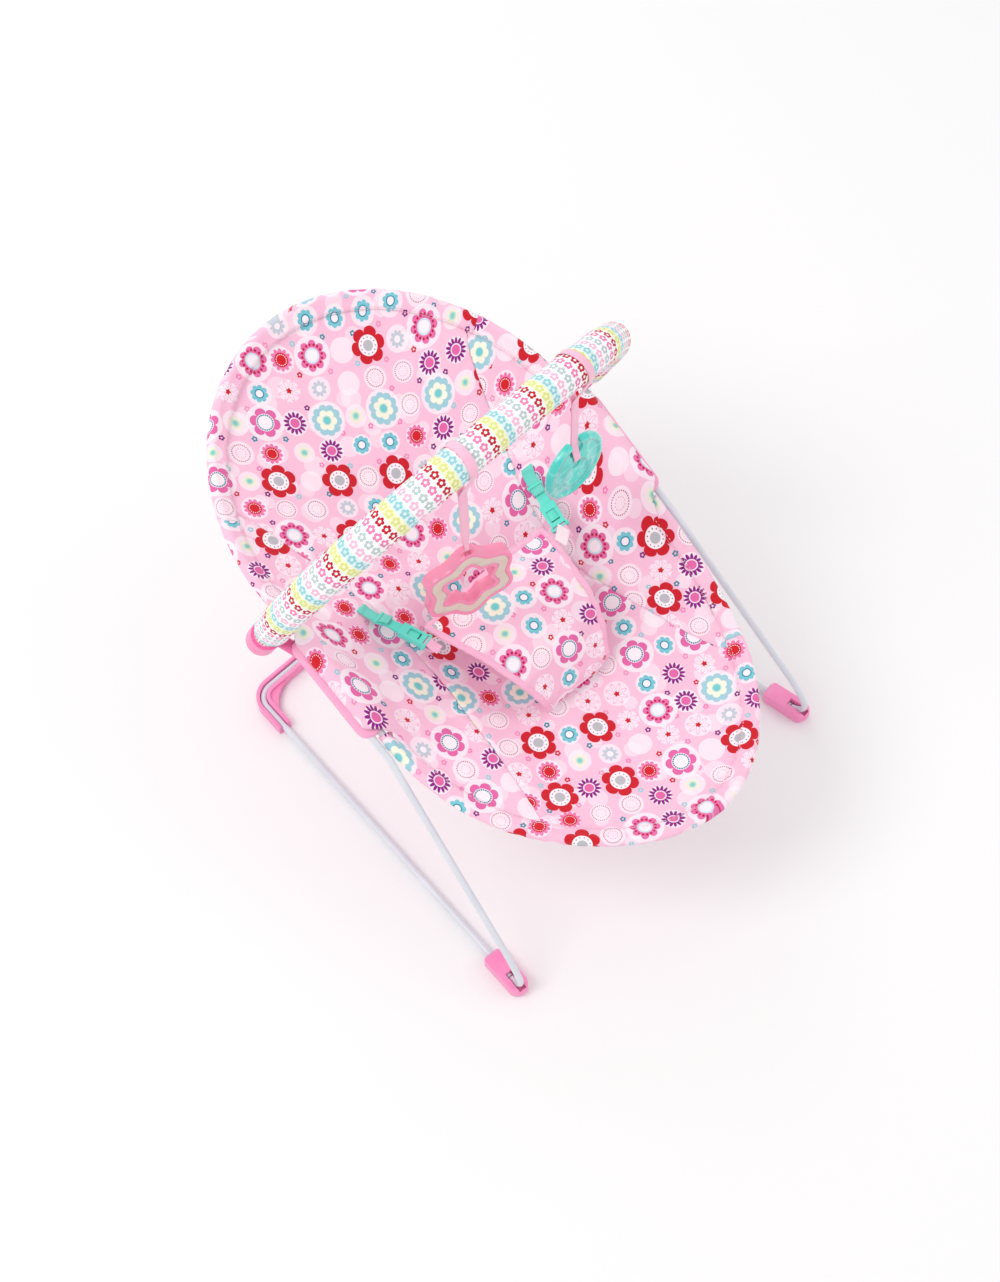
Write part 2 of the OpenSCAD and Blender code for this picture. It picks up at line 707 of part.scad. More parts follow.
base_wire();
front_foot(true);  // front_foot_left
front_foot(false);  // front_foot_right
rear_foot(true);  // rear_foot_left
rear_foot(false);  // rear_foot_right
arm_wire(true);  // arm_wire_left
arm_wire(false);  // arm_wire_right
upper_frame();
lower_frame();
retainer_outer(true);  // retainer_outer_left
retainer_outer(false);  // retainer_outer_right
retainer_inner(true);  // retainer_inner_left
retainer_inner(false);  // retainer_inner_right
retainer_screws();
bar_socket(true);  // bar_socket_left
bar_socket(false);  // bar_socket_right
hem_head();
hem_foot();
seat_panel();
seat_wing(true);  // seat_wing_left
seat_wing(false);  // seat_wing_right
side_flap(true);  // side_flap_left
side_flap(false);  // side_flap_right
crotch_panel();
care_label();
waist_strap(true);  // waist_strap_left
waist_strap(false);  // waist_strap_right
buckle_female(true);  // buckle_female_left
buckle_female(false);  // buckle_female_right
buckle_male(true);  // buckle_male_left
buckle_male(false);  // buckle_male_right
bar_tube();
bar_sleeve();
bar_plug(true);  // bar_plug_left
bar_plug(false);  // bar_plug_right
rattle_case();
rattle_window();
rattle_beads();
rattle_ribbon();
teether_ring();
teether_ribbon();
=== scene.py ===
"""Looks of the baby bouncer seat: printed cloth sling, crotch panel, padded toy bar, toys, wires and mouldings.

Everything is in metres in the CAD frame.  Shapes are worked out in millimetres, and new_mesh() scales them.
"""
import math

import bpy
import numpy as np
from mathutils import Matrix, Vector


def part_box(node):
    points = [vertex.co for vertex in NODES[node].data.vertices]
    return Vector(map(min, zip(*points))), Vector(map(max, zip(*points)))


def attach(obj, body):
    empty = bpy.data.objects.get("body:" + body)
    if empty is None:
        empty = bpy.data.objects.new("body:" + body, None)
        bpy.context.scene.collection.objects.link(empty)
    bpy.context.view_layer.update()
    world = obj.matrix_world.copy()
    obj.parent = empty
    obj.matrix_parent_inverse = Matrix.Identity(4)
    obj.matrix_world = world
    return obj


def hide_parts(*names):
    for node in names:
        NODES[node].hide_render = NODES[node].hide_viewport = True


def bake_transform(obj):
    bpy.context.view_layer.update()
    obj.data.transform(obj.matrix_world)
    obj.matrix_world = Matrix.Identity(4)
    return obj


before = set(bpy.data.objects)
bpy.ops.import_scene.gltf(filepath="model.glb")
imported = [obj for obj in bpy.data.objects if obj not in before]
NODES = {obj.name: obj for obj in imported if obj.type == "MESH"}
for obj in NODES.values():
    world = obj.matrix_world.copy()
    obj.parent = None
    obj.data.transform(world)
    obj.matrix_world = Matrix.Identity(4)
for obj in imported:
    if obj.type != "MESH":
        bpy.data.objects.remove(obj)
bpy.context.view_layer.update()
MM = 0.001
SIDES = {"left": -1, "right": 1}

# ---- driving sizes in millimetres, the same as the CAD model's ----
RIM_W, RIM_LEN, FOOT_H, SIDE_SLOPE = 187.5, 297.5, 184.0, 0.66
FOOT_Y, HEAD_Y, FOOT_POWER = -42.5, 97.5, 1.85
RISE_Y, LINE_Y, LINE_END, UPPER_Y, UPPER_SLOPE, UPPER_CURL = -187.5, -32.5, 59.5, 79.5, 0.3, 0.00034
SLING_DROP, SLING_POWER, CLOTH_T = 84.0, 1.7, 4.0
SLING_Y = (-298, -250, -187, -110, -60, -12, 28, 78, 138, 198, 248, 298)
SLING_SAG = (0, 0.10, 0.15, 0.24, 0.55, 0.88, 1, 0.94, 0.68, 0.42, 0.22, 0)
WING_END, WING_DEPTH = 190.0, 0.47
HOUSING_Y, HOUSING_HALF = 18.0, 59.0
HEM_R, FLAP_X = 6.0, 201.0
ARCH_W, ARCH_H, ARCH_N, ARCH_LEAN = 211.0, 232.0, 2.6, math.radians(27)
ARCH_Y, ARCH_Z = 89.5, 300.0
SLEEVE_R = 17.0
LAP_Y = (-109, -107, -101, -90, -74, -52, -24, 18)
LAP_Z = (184, 196, 211, 227, 240, 248, 252, 251)
LAP_W = (42, 44, 48, 54, 60, 66, 73, 82)
LAP_CROWN = 9.0
RATTLE_X, RATTLE_YAW, TEETHER_X = -50.0, math.radians(-19), 97.0

# ---- the visible pieces' own sizes in millimetres ----
HEM_GAP, SEAM_GAP = 0.6, 0.15  # closer than the CAD's 1.6 and 0.4
HEM_FLAP = 13.0
HOUSING_X = 177.5  # where the seat's cloth stops beside a side housing, whose inner face is at 179.1
# cloth over a side housing: reach along Y, height gained, and height lost again at its turned-down edge
FLAP_REACH, FLAP_LIFT, FLAP_TURN = 64.0, 14.5, 6.5
# where that climb ends along Y and how softly, the X it climbs between, and the X it turns down from
FLAP_END, FLAP_SOFT, FLAP_CLIMB, FLAP_FOLD = 78.0, 30.0, (150, 182), 192.0
# from the bar's centre line down to the middle of each ribbon's turn round its toy, and that turn's radius
RATTLE_LOW, RATTLE_TURN = 127.9, 3.6
TEETHER_LOW, TEETHER_TURN = 127.8, 5.8
BUCKLE_SLOT, STRAP_W = 48.3, 12.6  # from a buckle's origin to the slot for its strap, and the strap's width

# ---- camera in metres, degrees and a lens in millimetres, solved from the object's symmetry; then the floor ----
CAMERA_TARGET, CAMERA_DISTANCE = (0, -0.0825, 0.1), 2.0519
CAMERA_AZIMUTH, CAMERA_ELEVATION = -46.42, 60.01
CAMERA_LENS, CAMERA_SHIFT = 56.55, (-0.0455, 0.0548)
FLOOR_HALF = 6.0


def add(name, data):
    """A new object in the scene."""
    made = bpy.data.objects.new(name, data)
    bpy.context.scene.collection.objects.link(made)
    return made


# ---- camera, floor and light
def look_from(azimuth, elevation):
    """Axes of a camera that looks at the object from that direction, in degrees."""
    a, e = math.radians(azimuth), math.radians(elevation)
    back = Vector((math.sin(a) * math.cos(e), -math.cos(a) * math.cos(e), math.sin(e)))
    right = Vector((math.cos(a), math.sin(a), 0))
    return right, back.cross(right), back


def make_camera():
    data = bpy.data.cameras.new("camera")
    camera = add("camera", data)
    right, up, back = look_from(CAMERA_AZIMUTH, CAMERA_ELEVATION)
    camera.matrix_world = Matrix((right, up, back)).transposed().to_4x4()
    camera.location = Vector(CAMERA_TARGET) + CAMERA_DISTANCE * back
    data.lens = CAMERA_LENS
    data.shift_x, data.shift_y = CAMERA_SHIFT
    data.clip_start, data.clip_end = 0.05, 50
    bpy.context.scene.camera = camera


def area_light(name, place, size, power, colour=(1, 1, 1)):
    data = bpy.data.lights.new(name, "AREA")
    data.shape, data.size, data.energy, data.color = "DISK", size, power, colour
    light = add(name, data)
    light.location = place
    light.rotation_euler = (Vector((0, 0, 0.25)) - Vector(place)).to_track_quat("-Z", "Y").to_euler()


def make_stage():
    mesh = bpy.data.meshes.new("floor")
    corners = [(x * FLOOR_HALF, y * FLOOR_HALF, 0) for x, y in ((-1, -1), (1, -1), (1, 1), (-1, 1))]
    mesh.from_pydata(corners, [], [(0, 1, 2, 3)])
    floor = add("floor", mesh)
    paper = bpy.data.materials.new("floor_paper")
    paper.use_nodes = True
    shader = paper.node_tree.nodes["Principled BSDF"]
    shader.inputs["Base Color"].default_value = (0.9, 0.9, 0.905, 1)
    shader.inputs["Roughness"].default_value = 0.8
    shader.inputs["Specular IOR Level"].default_value = 0.2
    mesh.materials.append(paper)
    world = bpy.data.worlds.new("studio")
    world.use_nodes = True
    world.node_tree.nodes["Background"].inputs["Color"].default_value = (1.0, 0.99, 0.985, 1)
    world.node_tree.nodes["Background"].inputs["Strength"].default_value = 0.84
    bpy.context.scene.world = world
    area_light("key", (-1.5, 0.5, 2.3), 1.3, 20, (1, 0.985, 0.97))
    area_light("fill", (1.5, -1.7, 2.1), 2.0, 9, (0.97, 0.98, 1))
    area_light("rim", (1.0, 1.8, 1.7), 1.2, 6)
    bpy.context.scene.view_settings.view_transform = "Standard"


# ---- node graphs
def srgb(red, green, blue, alpha=1.0):
    """A colour given as 0 to 255 on screen, as the linear one that shaders use."""
    def channel(c):
        c /= 255
        return c / 12.92 if c <= 0.04045 else ((c + 0.055) / 1.055) ** 2.4
    return channel(red), channel(green), channel(blue), alpha


class Field:
    """A value in a node graph; arithmetic on it adds Math nodes."""

    def __init__(self, graph, socket):
        self.graph, self.socket = graph, socket

    def op(self, name, *others, clamp=False):
        return self.graph.math(name, self, *others, clamp=clamp)

    def __add__(self, other):
        return self.op("ADD", other)

    def __sub__(self, other):
        return self.op("SUBTRACT", other)

    def __mul__(self, other):
        return self.op("MULTIPLY", other)

    def __truediv__(self, other):
        return self.op("DIVIDE", other)

    __radd__ = __add__
    __rmul__ = __mul__

    def __rsub__(self, other):
        return self.graph.math("SUBTRACT", other, self)


class Graph:
    """One material and its node tree."""

    def __init__(self, name, colour=(0.8, 0.8, 0.8, 1), **settings):
        self.material = bpy.data.materials.new(name)
        self.material.use_nodes = True
        self.tree = self.material.node_tree
        self.shader = self.tree.nodes["Principled BSDF"]
        self.shader.inputs["Base Color"].default_value = colour
        for socket, value in settings.items():
            self.shader.inputs[socket.replace("_", " ")].default_value = value

    def node(self, kind, links=None, **settings):
        node = self.tree.nodes.new(kind)
        for key, value in settings.items():
            setattr(node, key, value)
        for key, value in (links or {}).items():
            self.join(value, node.inputs[key])
        return node

    def join(self, value, target):
        if isinstance(value, Field):
            value = value.socket
        if isinstance(value, bpy.types.NodeSocket):
            self.tree.links.new(value, target)
        else:
            target.default_value = value

    def math(self, name, *values, clamp=False):
        node = self.node("ShaderNodeMath", dict(enumerate(values)), operation=name, use_clamp=clamp)
        return Field(self, node.outputs[0])

    def vector(self, name, *values, scale=None):
        node = self.node("ShaderNodeVectorMath", dict(enumerate(values)), operation=name)
        if scale is not None:
            self.join(scale, node.inputs["Scale"])
        return node.outputs[0]

    def split(self, vector):
        node = self.node("ShaderNodeSeparateXYZ", {0: vector})
        return [Field(self, out) for out in node.outputs]

    def attribute(self, name):
        return self.node("ShaderNodeAttribute", attribute_type="GEOMETRY", attribute_name=name).outputs["Vector"]

    def place(self):
        return self.node("ShaderNodeTexCoord").outputs["Object"]

    def noise(self, at, scale, detail=2.0, rough=0.5):
        node = self.node("ShaderNodeTexNoise", {"Vector": at, "Scale": scale, "Detail": detail, "Roughness": rough})
        return Field(self, node.outputs[0])

    def mix(self, share, first, second):
        """Colour first where share is 0 and second where it is 1."""
        node = self.node("ShaderNodeMix", data_type="RGBA")
        self.join(share, node.inputs[0])
        self.join(first, node.inputs[6])
        self.join(second, node.inputs[7])
        return node.outputs[2]

    def steps(self, at, colours):
        """Equal bands of constant colour over 0 to 1."""
        node = self.node("ShaderNodeValToRGB", {0: at})
        ramp = node.color_ramp
        ramp.interpolation = "CONSTANT"
        while len(ramp.elements) < len(colours):
            ramp.elements.new(1)
        for i, colour in enumerate(colours):
            ramp.elements[i].position = i / len(colours)
            ramp.elements[i].color = colour
        return node.outputs[0]

    def base(self, colour):
        self.join(colour, self.shader.inputs["Base Color"])

    def rough(self, value):
        self.join(value, self.shader.inputs["Roughness"])

    def bump(self, height, strength, distance):
        node = self.node("ShaderNodeBump", {"Height": height, "Strength": strength, "Distance": distance})
        self.join(node.outputs[0], self.shader.inputs["Normal"])

    def inside(self, distance, edge, soft=0.35):
        """1 where distance is under edge, 0 over it, in millimetres."""
        gap = self.math("SUBTRACT", edge, distance)
        return gap.op("MULTIPLY_ADD", 1 / soft, 0.5, clamp=True)


def petals(g, angle, count, low, high, power=0.5):
    """Radius of a flower's outline, as a share of its size: low between petals and high at their tips."""
    wave = (angle * (count / 2)).op("COSINE").op("ABSOLUTE").op("POWER", power)
    return wave.op("MULTIPLY_ADD", high - low, low)


def dot_ring(g, r, angle, count, ring, dot):
    """Round dots spaced evenly on a circle; ring is its radius and dot a dot's radius."""
    share = (angle * (count / (2 * math.pi))).op("FRACT") - 0.5
    along = share * (g.math("MULTIPLY", ring, 2 * math.pi / count))
    across = r - ring
    return g.inside((along * along + across * across).op("SQRT"), dot, 0.3)


class Lattice:
    """Places on the cloth, one near the middle of each square cell: distance and angle to it, and random numbers."""

    def __init__(self, g, cloth, pitch, shift, jitter, seed):
        at = g.vector("MULTIPLY_ADD", cloth, (1000 / pitch,) * 3, shift)
        self.cell = g.vector("FLOOR", at)
        hashed = g.node("ShaderNodeTexWhiteNoise", {"Vector": self.cell, "W": seed}, noise_dimensions="4D")
        self.pick = Field(g, hashed.outputs["Value"])
        right, up, self.other = g.split(hashed.outputs["Color"])
        x, y, _ = g.split(g.vector("SUBTRACT", at, self.cell))
        x = (x - 0.5) * pitch - (right - 0.5) * (2 * jitter)
        y = (y - 0.5) * pitch - (up - 0.5) * (2 * jitter)
        self.r = (x * x + y * y).op("SQRT") / PRINT_SCALE
        self.angle = y.op("ARCTAN2", x) + (right + up) * 3.1 + 25.0


def between(value, low, high):
    return value.op("GREATER_THAN", low) * value.op("LESS_THAN", high)


PRINT_SCALE = 0.93
WHITE = srgb(252, 240, 247)
FLOWER_PINK = srgb(228, 104, 168)
RED = srgb(206, 22, 40)
SMALL_COLOURS = [srgb(120, 26, 118), srgb(206, 20, 40), srgb(244, 132, 184), srgb(34, 140, 160),
                 srgb(238, 150, 190), srgb(150, 206, 216)]


def small_flower(g, colour, s, on, size):
    """Five-petal outline flower in one of a few colours."""
    mask = g.inside(s.r, petals(g, s.angle, 5, 0.62, 1.0, 0.6) * size) * (1 - g.inside(s.r, size * 0.34)) * on
    return g.mix(mask, colour, g.steps(s.other, SMALL_COLOURS))


def small_prints(g, colour, cloth, turned):
    """Pale plain discs that overlap, and tiny flowers in the gaps of the main lattice."""
    for pitch, shift, share, strength in ((38, (3.3, 7.7, 0), 0.8, 0.5), (47, (0.6, 2.1, 0), 0.8, 0.42)):
        disc = Lattice(g, cloth, pitch, shift, 5, pitch)
        mask = g.inside(disc.r, disc.other.op("MULTIPLY_ADD", 6, 6.5)) * disc.pick.op("LESS_THAN", share)
        colour = g.mix(mask * strength, colour, WHITE)
    gaps = Lattice(g, turned, 31, (0.5, 0.5, 0), 2.5, 3.0)
    return small_flower(g, colour, gaps, gaps.pick.op("LESS_THAN", 0.75), 3.3)


def motif(g, colour, s, on, layers):
    """Lays the layers of one motif over colour where on is 1.

    After its shape and colour a layer has: petals count, low, high, power, size; disc radius; ring outer, inner;
    dots count, ring, dot; outline size."""
    for shape, tint, *numbers in layers:
        if shape == "petals":
            count, low, high, power, size, *soft = numbers
            mask = g.inside(s.r, petals(g, s.angle, count, low, high, power) * size, *soft)
        elif shape == "disc":
            mask = g.inside(s.r, *numbers)
        elif shape == "ring":
            mask = g.inside(s.r, numbers[0]) - g.inside(s.r, numbers[1])
        elif shape == "dots":
            mask = dot_ring(g, s.r, s.angle, *numbers)
        else:
            outer, inner = (petals(g, s.angle, 8, *v) * numbers[0] for v in ((0.35, 1.0, 1.4), (0.22, 0.86, 1.8)))
            mask = (g.inside(s.r, outer) - g.inside(s.r, inner)).op("MAXIMUM", 0.0) * 0.8
        colour = g.mix(on * mask, colour, tint)
    return colour


# Each motif: the top of its range of a cell's random number, and its layers
MEDIUM = (
    # purple daisy
    (0.12, (("petals", srgb(142, 26, 132), 14, 0.55, 1.0, 0.9, 12.6), ("disc", srgb(250, 220, 238), 6.4),
            ("disc", FLOWER_PINK, 5.0))),
    # red middle with white dots and a ring of small pink petals
    (0.24, (("petals", srgb(238, 124, 176), 12, 0.7, 1.0, 0.7, 11.8), ("disc", srgb(214, 24, 40), 7.4),
            ("dots", WHITE, 16, 5.6, 0.55))),
    # a ring of dark red dots round one of pink dots
    (0.38, (("dots", srgb(168, 24, 56), 28, 9.4, 0.62), ("dots", srgb(222, 120, 156), 12, 5.2, 0.45))),
    # pale outline petals round a tiny red flower
    (0.54, (("outline", srgb(244, 170, 208), 12.5), ("petals", RED, 5, 1.8, 3.2, 0.7, 1))),
    # aqua flower with a teal ring
    (0.66, (("petals", srgb(120, 200, 214), 8, 0.74, 1.0, 0.6, 9.6), ("ring", srgb(24, 130, 156), 5.0, 3.9),
            ("disc", WHITE, 3.8))),
    # grey flower
    (0.74, (("petals", srgb(196, 204, 216), 9, 0.6, 1.0, 0.7, 8.6), ("disc", WHITE, 3.4))),
    # soft yellow and aqua dot
    (0.86, (("disc", srgb(236, 240, 206), 6.0, 5.0), ("disc", srgb(128, 208, 204), 3.2, 3.0))),
)
LARGE = (
    # red with a grey middle
    (0.27, (("petals", RED, 6, 0.64, 1.0, 0.4, 19.6), ("disc", WHITE, 10.8),
            ("dots", srgb(60, 24, 56), 12, 8.4, 0.62), ("disc", srgb(188, 188, 194), 5.6))),
    # pink with teal dots
    (0.62, (("petals", FLOWER_PINK, 6, 0.6, 1.0, 0.42, 16.4), ("disc", WHITE, 9.8),
            ("dots", srgb(16, 132, 158), 22, 8.3, 0.95))),
    # pink with dark red dots and a pale middle
    (0.82, (("petals", srgb(232, 112, 170), 8, 0.68, 1.0, 0.6, 16.2), ("dots", srgb(190, 18, 56), 16, 11.2, 1.35),
            ("disc", srgb(206, 226, 236), 8.2), ("disc", WHITE, 6.2))),
    # aqua round cream
    (2, (("petals", srgb(160, 208, 220), 10, 0.84, 1.0, 0.7, 17, 0.8),
         ("petals", srgb(250, 246, 226), 6, 0.7, 1.0, 0.6, 11.4, 0.8), ("disc", srgb(116, 206, 208), 4.6, 2.4))),
)


def medium_prints(g, colour, s, free):
    """Flowers and dots on discs of 10 to 13 mm radius; the cells past the last motif keep a plain disc."""
    colour = g.mix(free * g.inside(s.r, s.other.op("MULTIPLY_ADD", 3.0, 11.2)) * 0.72, colour, WHITE)
    low = -1
    for high, layers in MEDIUM:
        colour = motif(g, colour, s, free * between(s.pick, low, high), layers)
        low = high
    return colour


def large_prints(g, colour, s):
    """Flowers of 15 to 18 mm radius, one in each cell."""
    low = -1
    for high, layers in LARGE:
        on = between(s.pick, low, high)
        colour = motif(g, colour, s, on, layers)
        if low < 0:  # every kind but the first, red, has a pale disc under it
            colour = g.mix((1 - on) * g.inside(s.r, 20.4) * 0.78, colour, WHITE)
        low = high
    return colour


def flower_print(g, cloth, ground):
    """The seat's print: large flowers 62 mm apart, medium ones between them, and small ones in the gaps."""
    turned = g.node("ShaderNodeVectorRotate", {"Vector": cloth, "Angle": math.radians(27)},
                    rotation_type="Z_AXIS").outputs[0]
    colour = small_prints(g, ground, cloth, turned)
    medium = Lattice(g, turned, 31, (0, 0, 0), 1.6, 1.0)
    column, row, _ = g.split(medium.cell)
    even_column, even_row = (between(k.op("FLOORED_MODULO", 2.0), -0.5, 0.5) for k in (column, row))
    colour = medium_prints(g, colour, medium, 1 - even_column * even_row)
    return large_prints(g, colour, Lattice(g, turned, 62, (0.25, 0.25, 0), 1.2, 2.0))


def weave(g, cloth, bump=0.25):
    """Fine woven bump and a slow change of tone, common to every cloth."""
    x, y, _ = g.split(cloth)
    threads = (x * 5200).op("SINE") * (y * 5200).op("SINE")
    lumps = g.noise(cloth, 160.0, 3.0)
    g.bump(threads * 0.35 + lumps, bump, 0.0006)
    return g.noise(cloth, 9.0, 2.0)


def print_material(name, tint):
    g = Graph(name, Roughness=0.82, Sheen_Weight=0.18, Sheen_Roughness=0.5)
    g.shader.inputs["Specular IOR Level"].default_value = 0.25
    cloth = g.attribute("cloth")
    tone = weave(g, cloth)
    colour = flower_print(g, cloth, g.mix(tone, tint, srgb(251, 202, 224)))
    g.base(colour)
    return g.material


def sleeve_material():
    """White cloth with rings of small outline flowers in six colours, two of the rings on tinted bands."""
    g = Graph("sleeve_print", Roughness=0.8, Sheen_Weight=0.15)
    g.shader.inputs["Specular IOR Level"].default_value = 0.25
    cloth = g.attribute("cloth")
    weave(g, cloth)
    pitch, step = 9.2, 2 * math.pi * SLEEVE_R / 12
    along, round_it, _ = g.split(g.vector("SCALE", cloth, scale=1000.0))
    row = (along / (pitch * 6)).op("FRACT")
    white = srgb(253, 250, 251)
    colour = g.steps(row, [white, srgb(246, 246, 208), srgb(222, 242, 244), white, white, white])
    paint = g.steps(row, [srgb(196, 22, 44), srgb(222, 226, 140), srgb(150, 208, 216),
                          srgb(246, 186, 214), srgb(186, 204, 204), srgb(238, 130, 178)])
    x = ((along / pitch).op("FRACT") - 0.5) * pitch
    y = ((round_it / step).op("FRACT") - 0.5) * step
    r = (x * x + y * y).op("SQRT")
    edge = petals(g, y.op("ARCTAN2", x) + 20.0, 5, 0.6, 1.0, 0.6) * 4.1
    colour = g.mix(g.inside(r, edge) * (1 - g.inside(r, 1.35)), colour, paint)
    g.base(colour)
    return g.material


def plain_cloth(name, colour, second, shine=0.5):
    """Woven tape, ribbon or binding: one colour that drifts a little, with ribs across it."""
    g = Graph(name, Roughness=shine, Sheen_Weight=0.3)
    cloth = g.attribute("cloth")
    x, y, _ = g.split(cloth)
    ribs = (x * 4200).op("SINE") * 0.4 + (y * 2600).op("SINE") * 0.6
    g.bump(ribs + g.noise(cloth, 220.0, 2.0), 0.3, 0.0004)
    g.base(g.mix(g.noise(cloth, 45.0, 3.0), colour, second))
    return g.material


def moulded(name, colour, second, rough=0.28, **settings):
    """Glossy moulded plastic: a faint drift of colour, and the fine texture of a mould in its gloss."""
    g = Graph(name, colour, Coat_Weight=0.25, Coat_Roughness=0.15, **settings)
    at = g.place()
    g.base(g.mix(g.noise(at, 18.0, 2.0), colour, second))
    g.rough(g.noise(at, 260.0, 2.0).op("MULTIPLY_ADD", 0.14, rough - 0.07))
    g.bump(g.noise(at, 900.0, 2.0), 0.06, 0.0004)
    return g.material


def powder_coat():
    """White enamel on wire: orange peel, and a trace of wear."""
    g = Graph("powder_coat", Coat_Weight=0.35, Coat_Roughness=0.2)
    at = g.place()
    g.base(g.mix(g.noise(at, 30.0, 3.0), srgb(206, 210, 220), srgb(228, 230, 238)))
    g.rough(g.noise(at, 120.0, 2.0).op("MULTIPLY_ADD", 0.16, 0.24))
    g.bump(g.noise(at, 700.0, 3.0), 0.12, 0.0005)
    return g.material


def steel():
    g = Graph("zinc_steel", Metallic=1.0)
    at = g.place()
    g.base(g.mix(g.noise(at, 300.0, 3.0), srgb(178, 180, 186), srgb(222, 222, 226)))
    g.rough(g.noise(at, 500.0, 2.0).op("MULTIPLY_ADD", 0.2, 0.25))
    return g.material


# ---- meshes
def new_mesh(name, points, faces, material, body, cloth=None, smooth=True):
    """A piece from points in millimetres, on a body or on none; cloth is each point's place on the flat cloth."""
    mesh = bpy.data.meshes.new(name)
    points = np.asarray(points, float) * MM
    mesh.from_pydata(points.tolist(), [], [tuple(int(i) for i in f) for f in faces])
    mesh.update()
    if cloth is not None:
        flat = np.zeros((len(points), 3), np.float32)
        flat[:, :2] = np.asarray(cloth, float)[:, :2] * MM
        mesh.attributes.new("cloth", "FLOAT_VECTOR", "POINT").data.foreach_set("vector", flat.ravel())
    mesh.polygons.foreach_set("use_smooth", [smooth] * len(mesh.polygons))
    mesh.materials.append(material)
    piece = add(name, mesh)
    if body:
        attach(piece, body)
    return piece


def grid_faces(rows, cols, base=0, flip=False, wrap=False):
    i, j = np.meshgrid(np.arange(rows - 1), np.arange(cols if wrap else cols - 1), indexing="ij")
    a = (base + i * cols + j).ravel()
    b = (base + i * cols + (j + 1) % cols).ravel()
    quads = np.stack([a, a + cols, b + cols, b] if flip else [a, b, b + cols, a + cols], axis=1)
    return quads.tolist()


def closed_sheet(top, bottom):
    """Points and faces of a closed sheet between two grids of the same size."""
    rows, cols = top.shape[:2]
    count = rows * cols
    edge = np.concatenate([np.arange(cols), np.arange(1, rows) * cols + cols - 1,
                           (rows - 1) * cols + np.arange(cols - 2, -1, -1), np.arange(rows - 2, 0, -1) * cols])
    after = np.roll(edge, -1)
    rim = np.stack([edge, edge + count, after + count, after], axis=1).tolist()
    points = np.concatenate([top.reshape(-1, 3), bottom.reshape(-1, 3)])
    return points, grid_faces(rows, cols) + grid_faces(rows, cols, count, True) + rim


def unit(v):
    return v / np.maximum(np.linalg.norm(v, axis=-1, keepdims=True), 1e-9)


def tangents(path, closed=False):
    if closed:
        return unit(np.roll(path, -1, 0) - np.roll(path, 1, 0))
    return unit(np.gradient(path, axis=0))


def lengths(path):
    """The length of a polyline up to each of its points."""
    return np.concatenate([[0], np.cumsum(np.linalg.norm(np.diff(path, axis=0), axis=1))])


def resample(path, step):
    """Points about step apart along a polyline, and the length up to each."""
    along = lengths(path)
    at = np.linspace(0, along[-1], max(3, int(along[-1] / step) + 1))
    return np.stack([np.interp(at, along, path[:, k]) for k in range(3)], axis=1), at


def sweep(path, section, first, second, closed=False):
    """Rings of points: section[i] holds (a, b) pairs laid along the axes first[i] and second[i]."""
    section = np.asarray(section, float)
    if section.ndim == 2:
        section = np.broadcast_to(section, (len(path),) + section.shape)
    rings = path[:, None] + section[..., :1] * first[:, None] + section[..., 1:2] * second[:, None]
    rows, cols = rings.shape[:2]
    faces = grid_faces(rows, cols, wrap=True)
    if closed:
        last = (rows - 1) * cols
        faces += [[last + j, last + (j + 1) % cols, (j + 1) % cols, j] for j in range(cols)]
    else:
        faces += [list(range(cols))[::-1], [(rows - 1) * cols + j for j in range(cols)]]
    return rings, faces


def circle(sides, r=1.0):
    a = np.arange(sides) * 2 * math.pi / sides
    return np.stack([r * np.cos(a), r * np.sin(a)], axis=1)


def smoothstep(x, low, high):
    t = np.clip((x - low) / (high - low), 0, 1)
    return t * t * (3 - 2 * t)


def waves(x, y, seed, count=9, size=60.0):
    """Smooth noise in -1 to 1 made of a few waves; size is the usual length of a wave in millimetres."""
    draw = np.random.default_rng(seed)
    total = np.zeros(np.broadcast(x, y).shape)
    for _ in range(count):
        angle, phase = draw.random(2) * 2 * math.pi
        k = 2 * math.pi / (size * (0.6 + 0.9 * draw.random()))
        total += np.sin(k * (x * math.cos(angle) + y * math.sin(angle)) + phase)
    return total / math.sqrt(count)


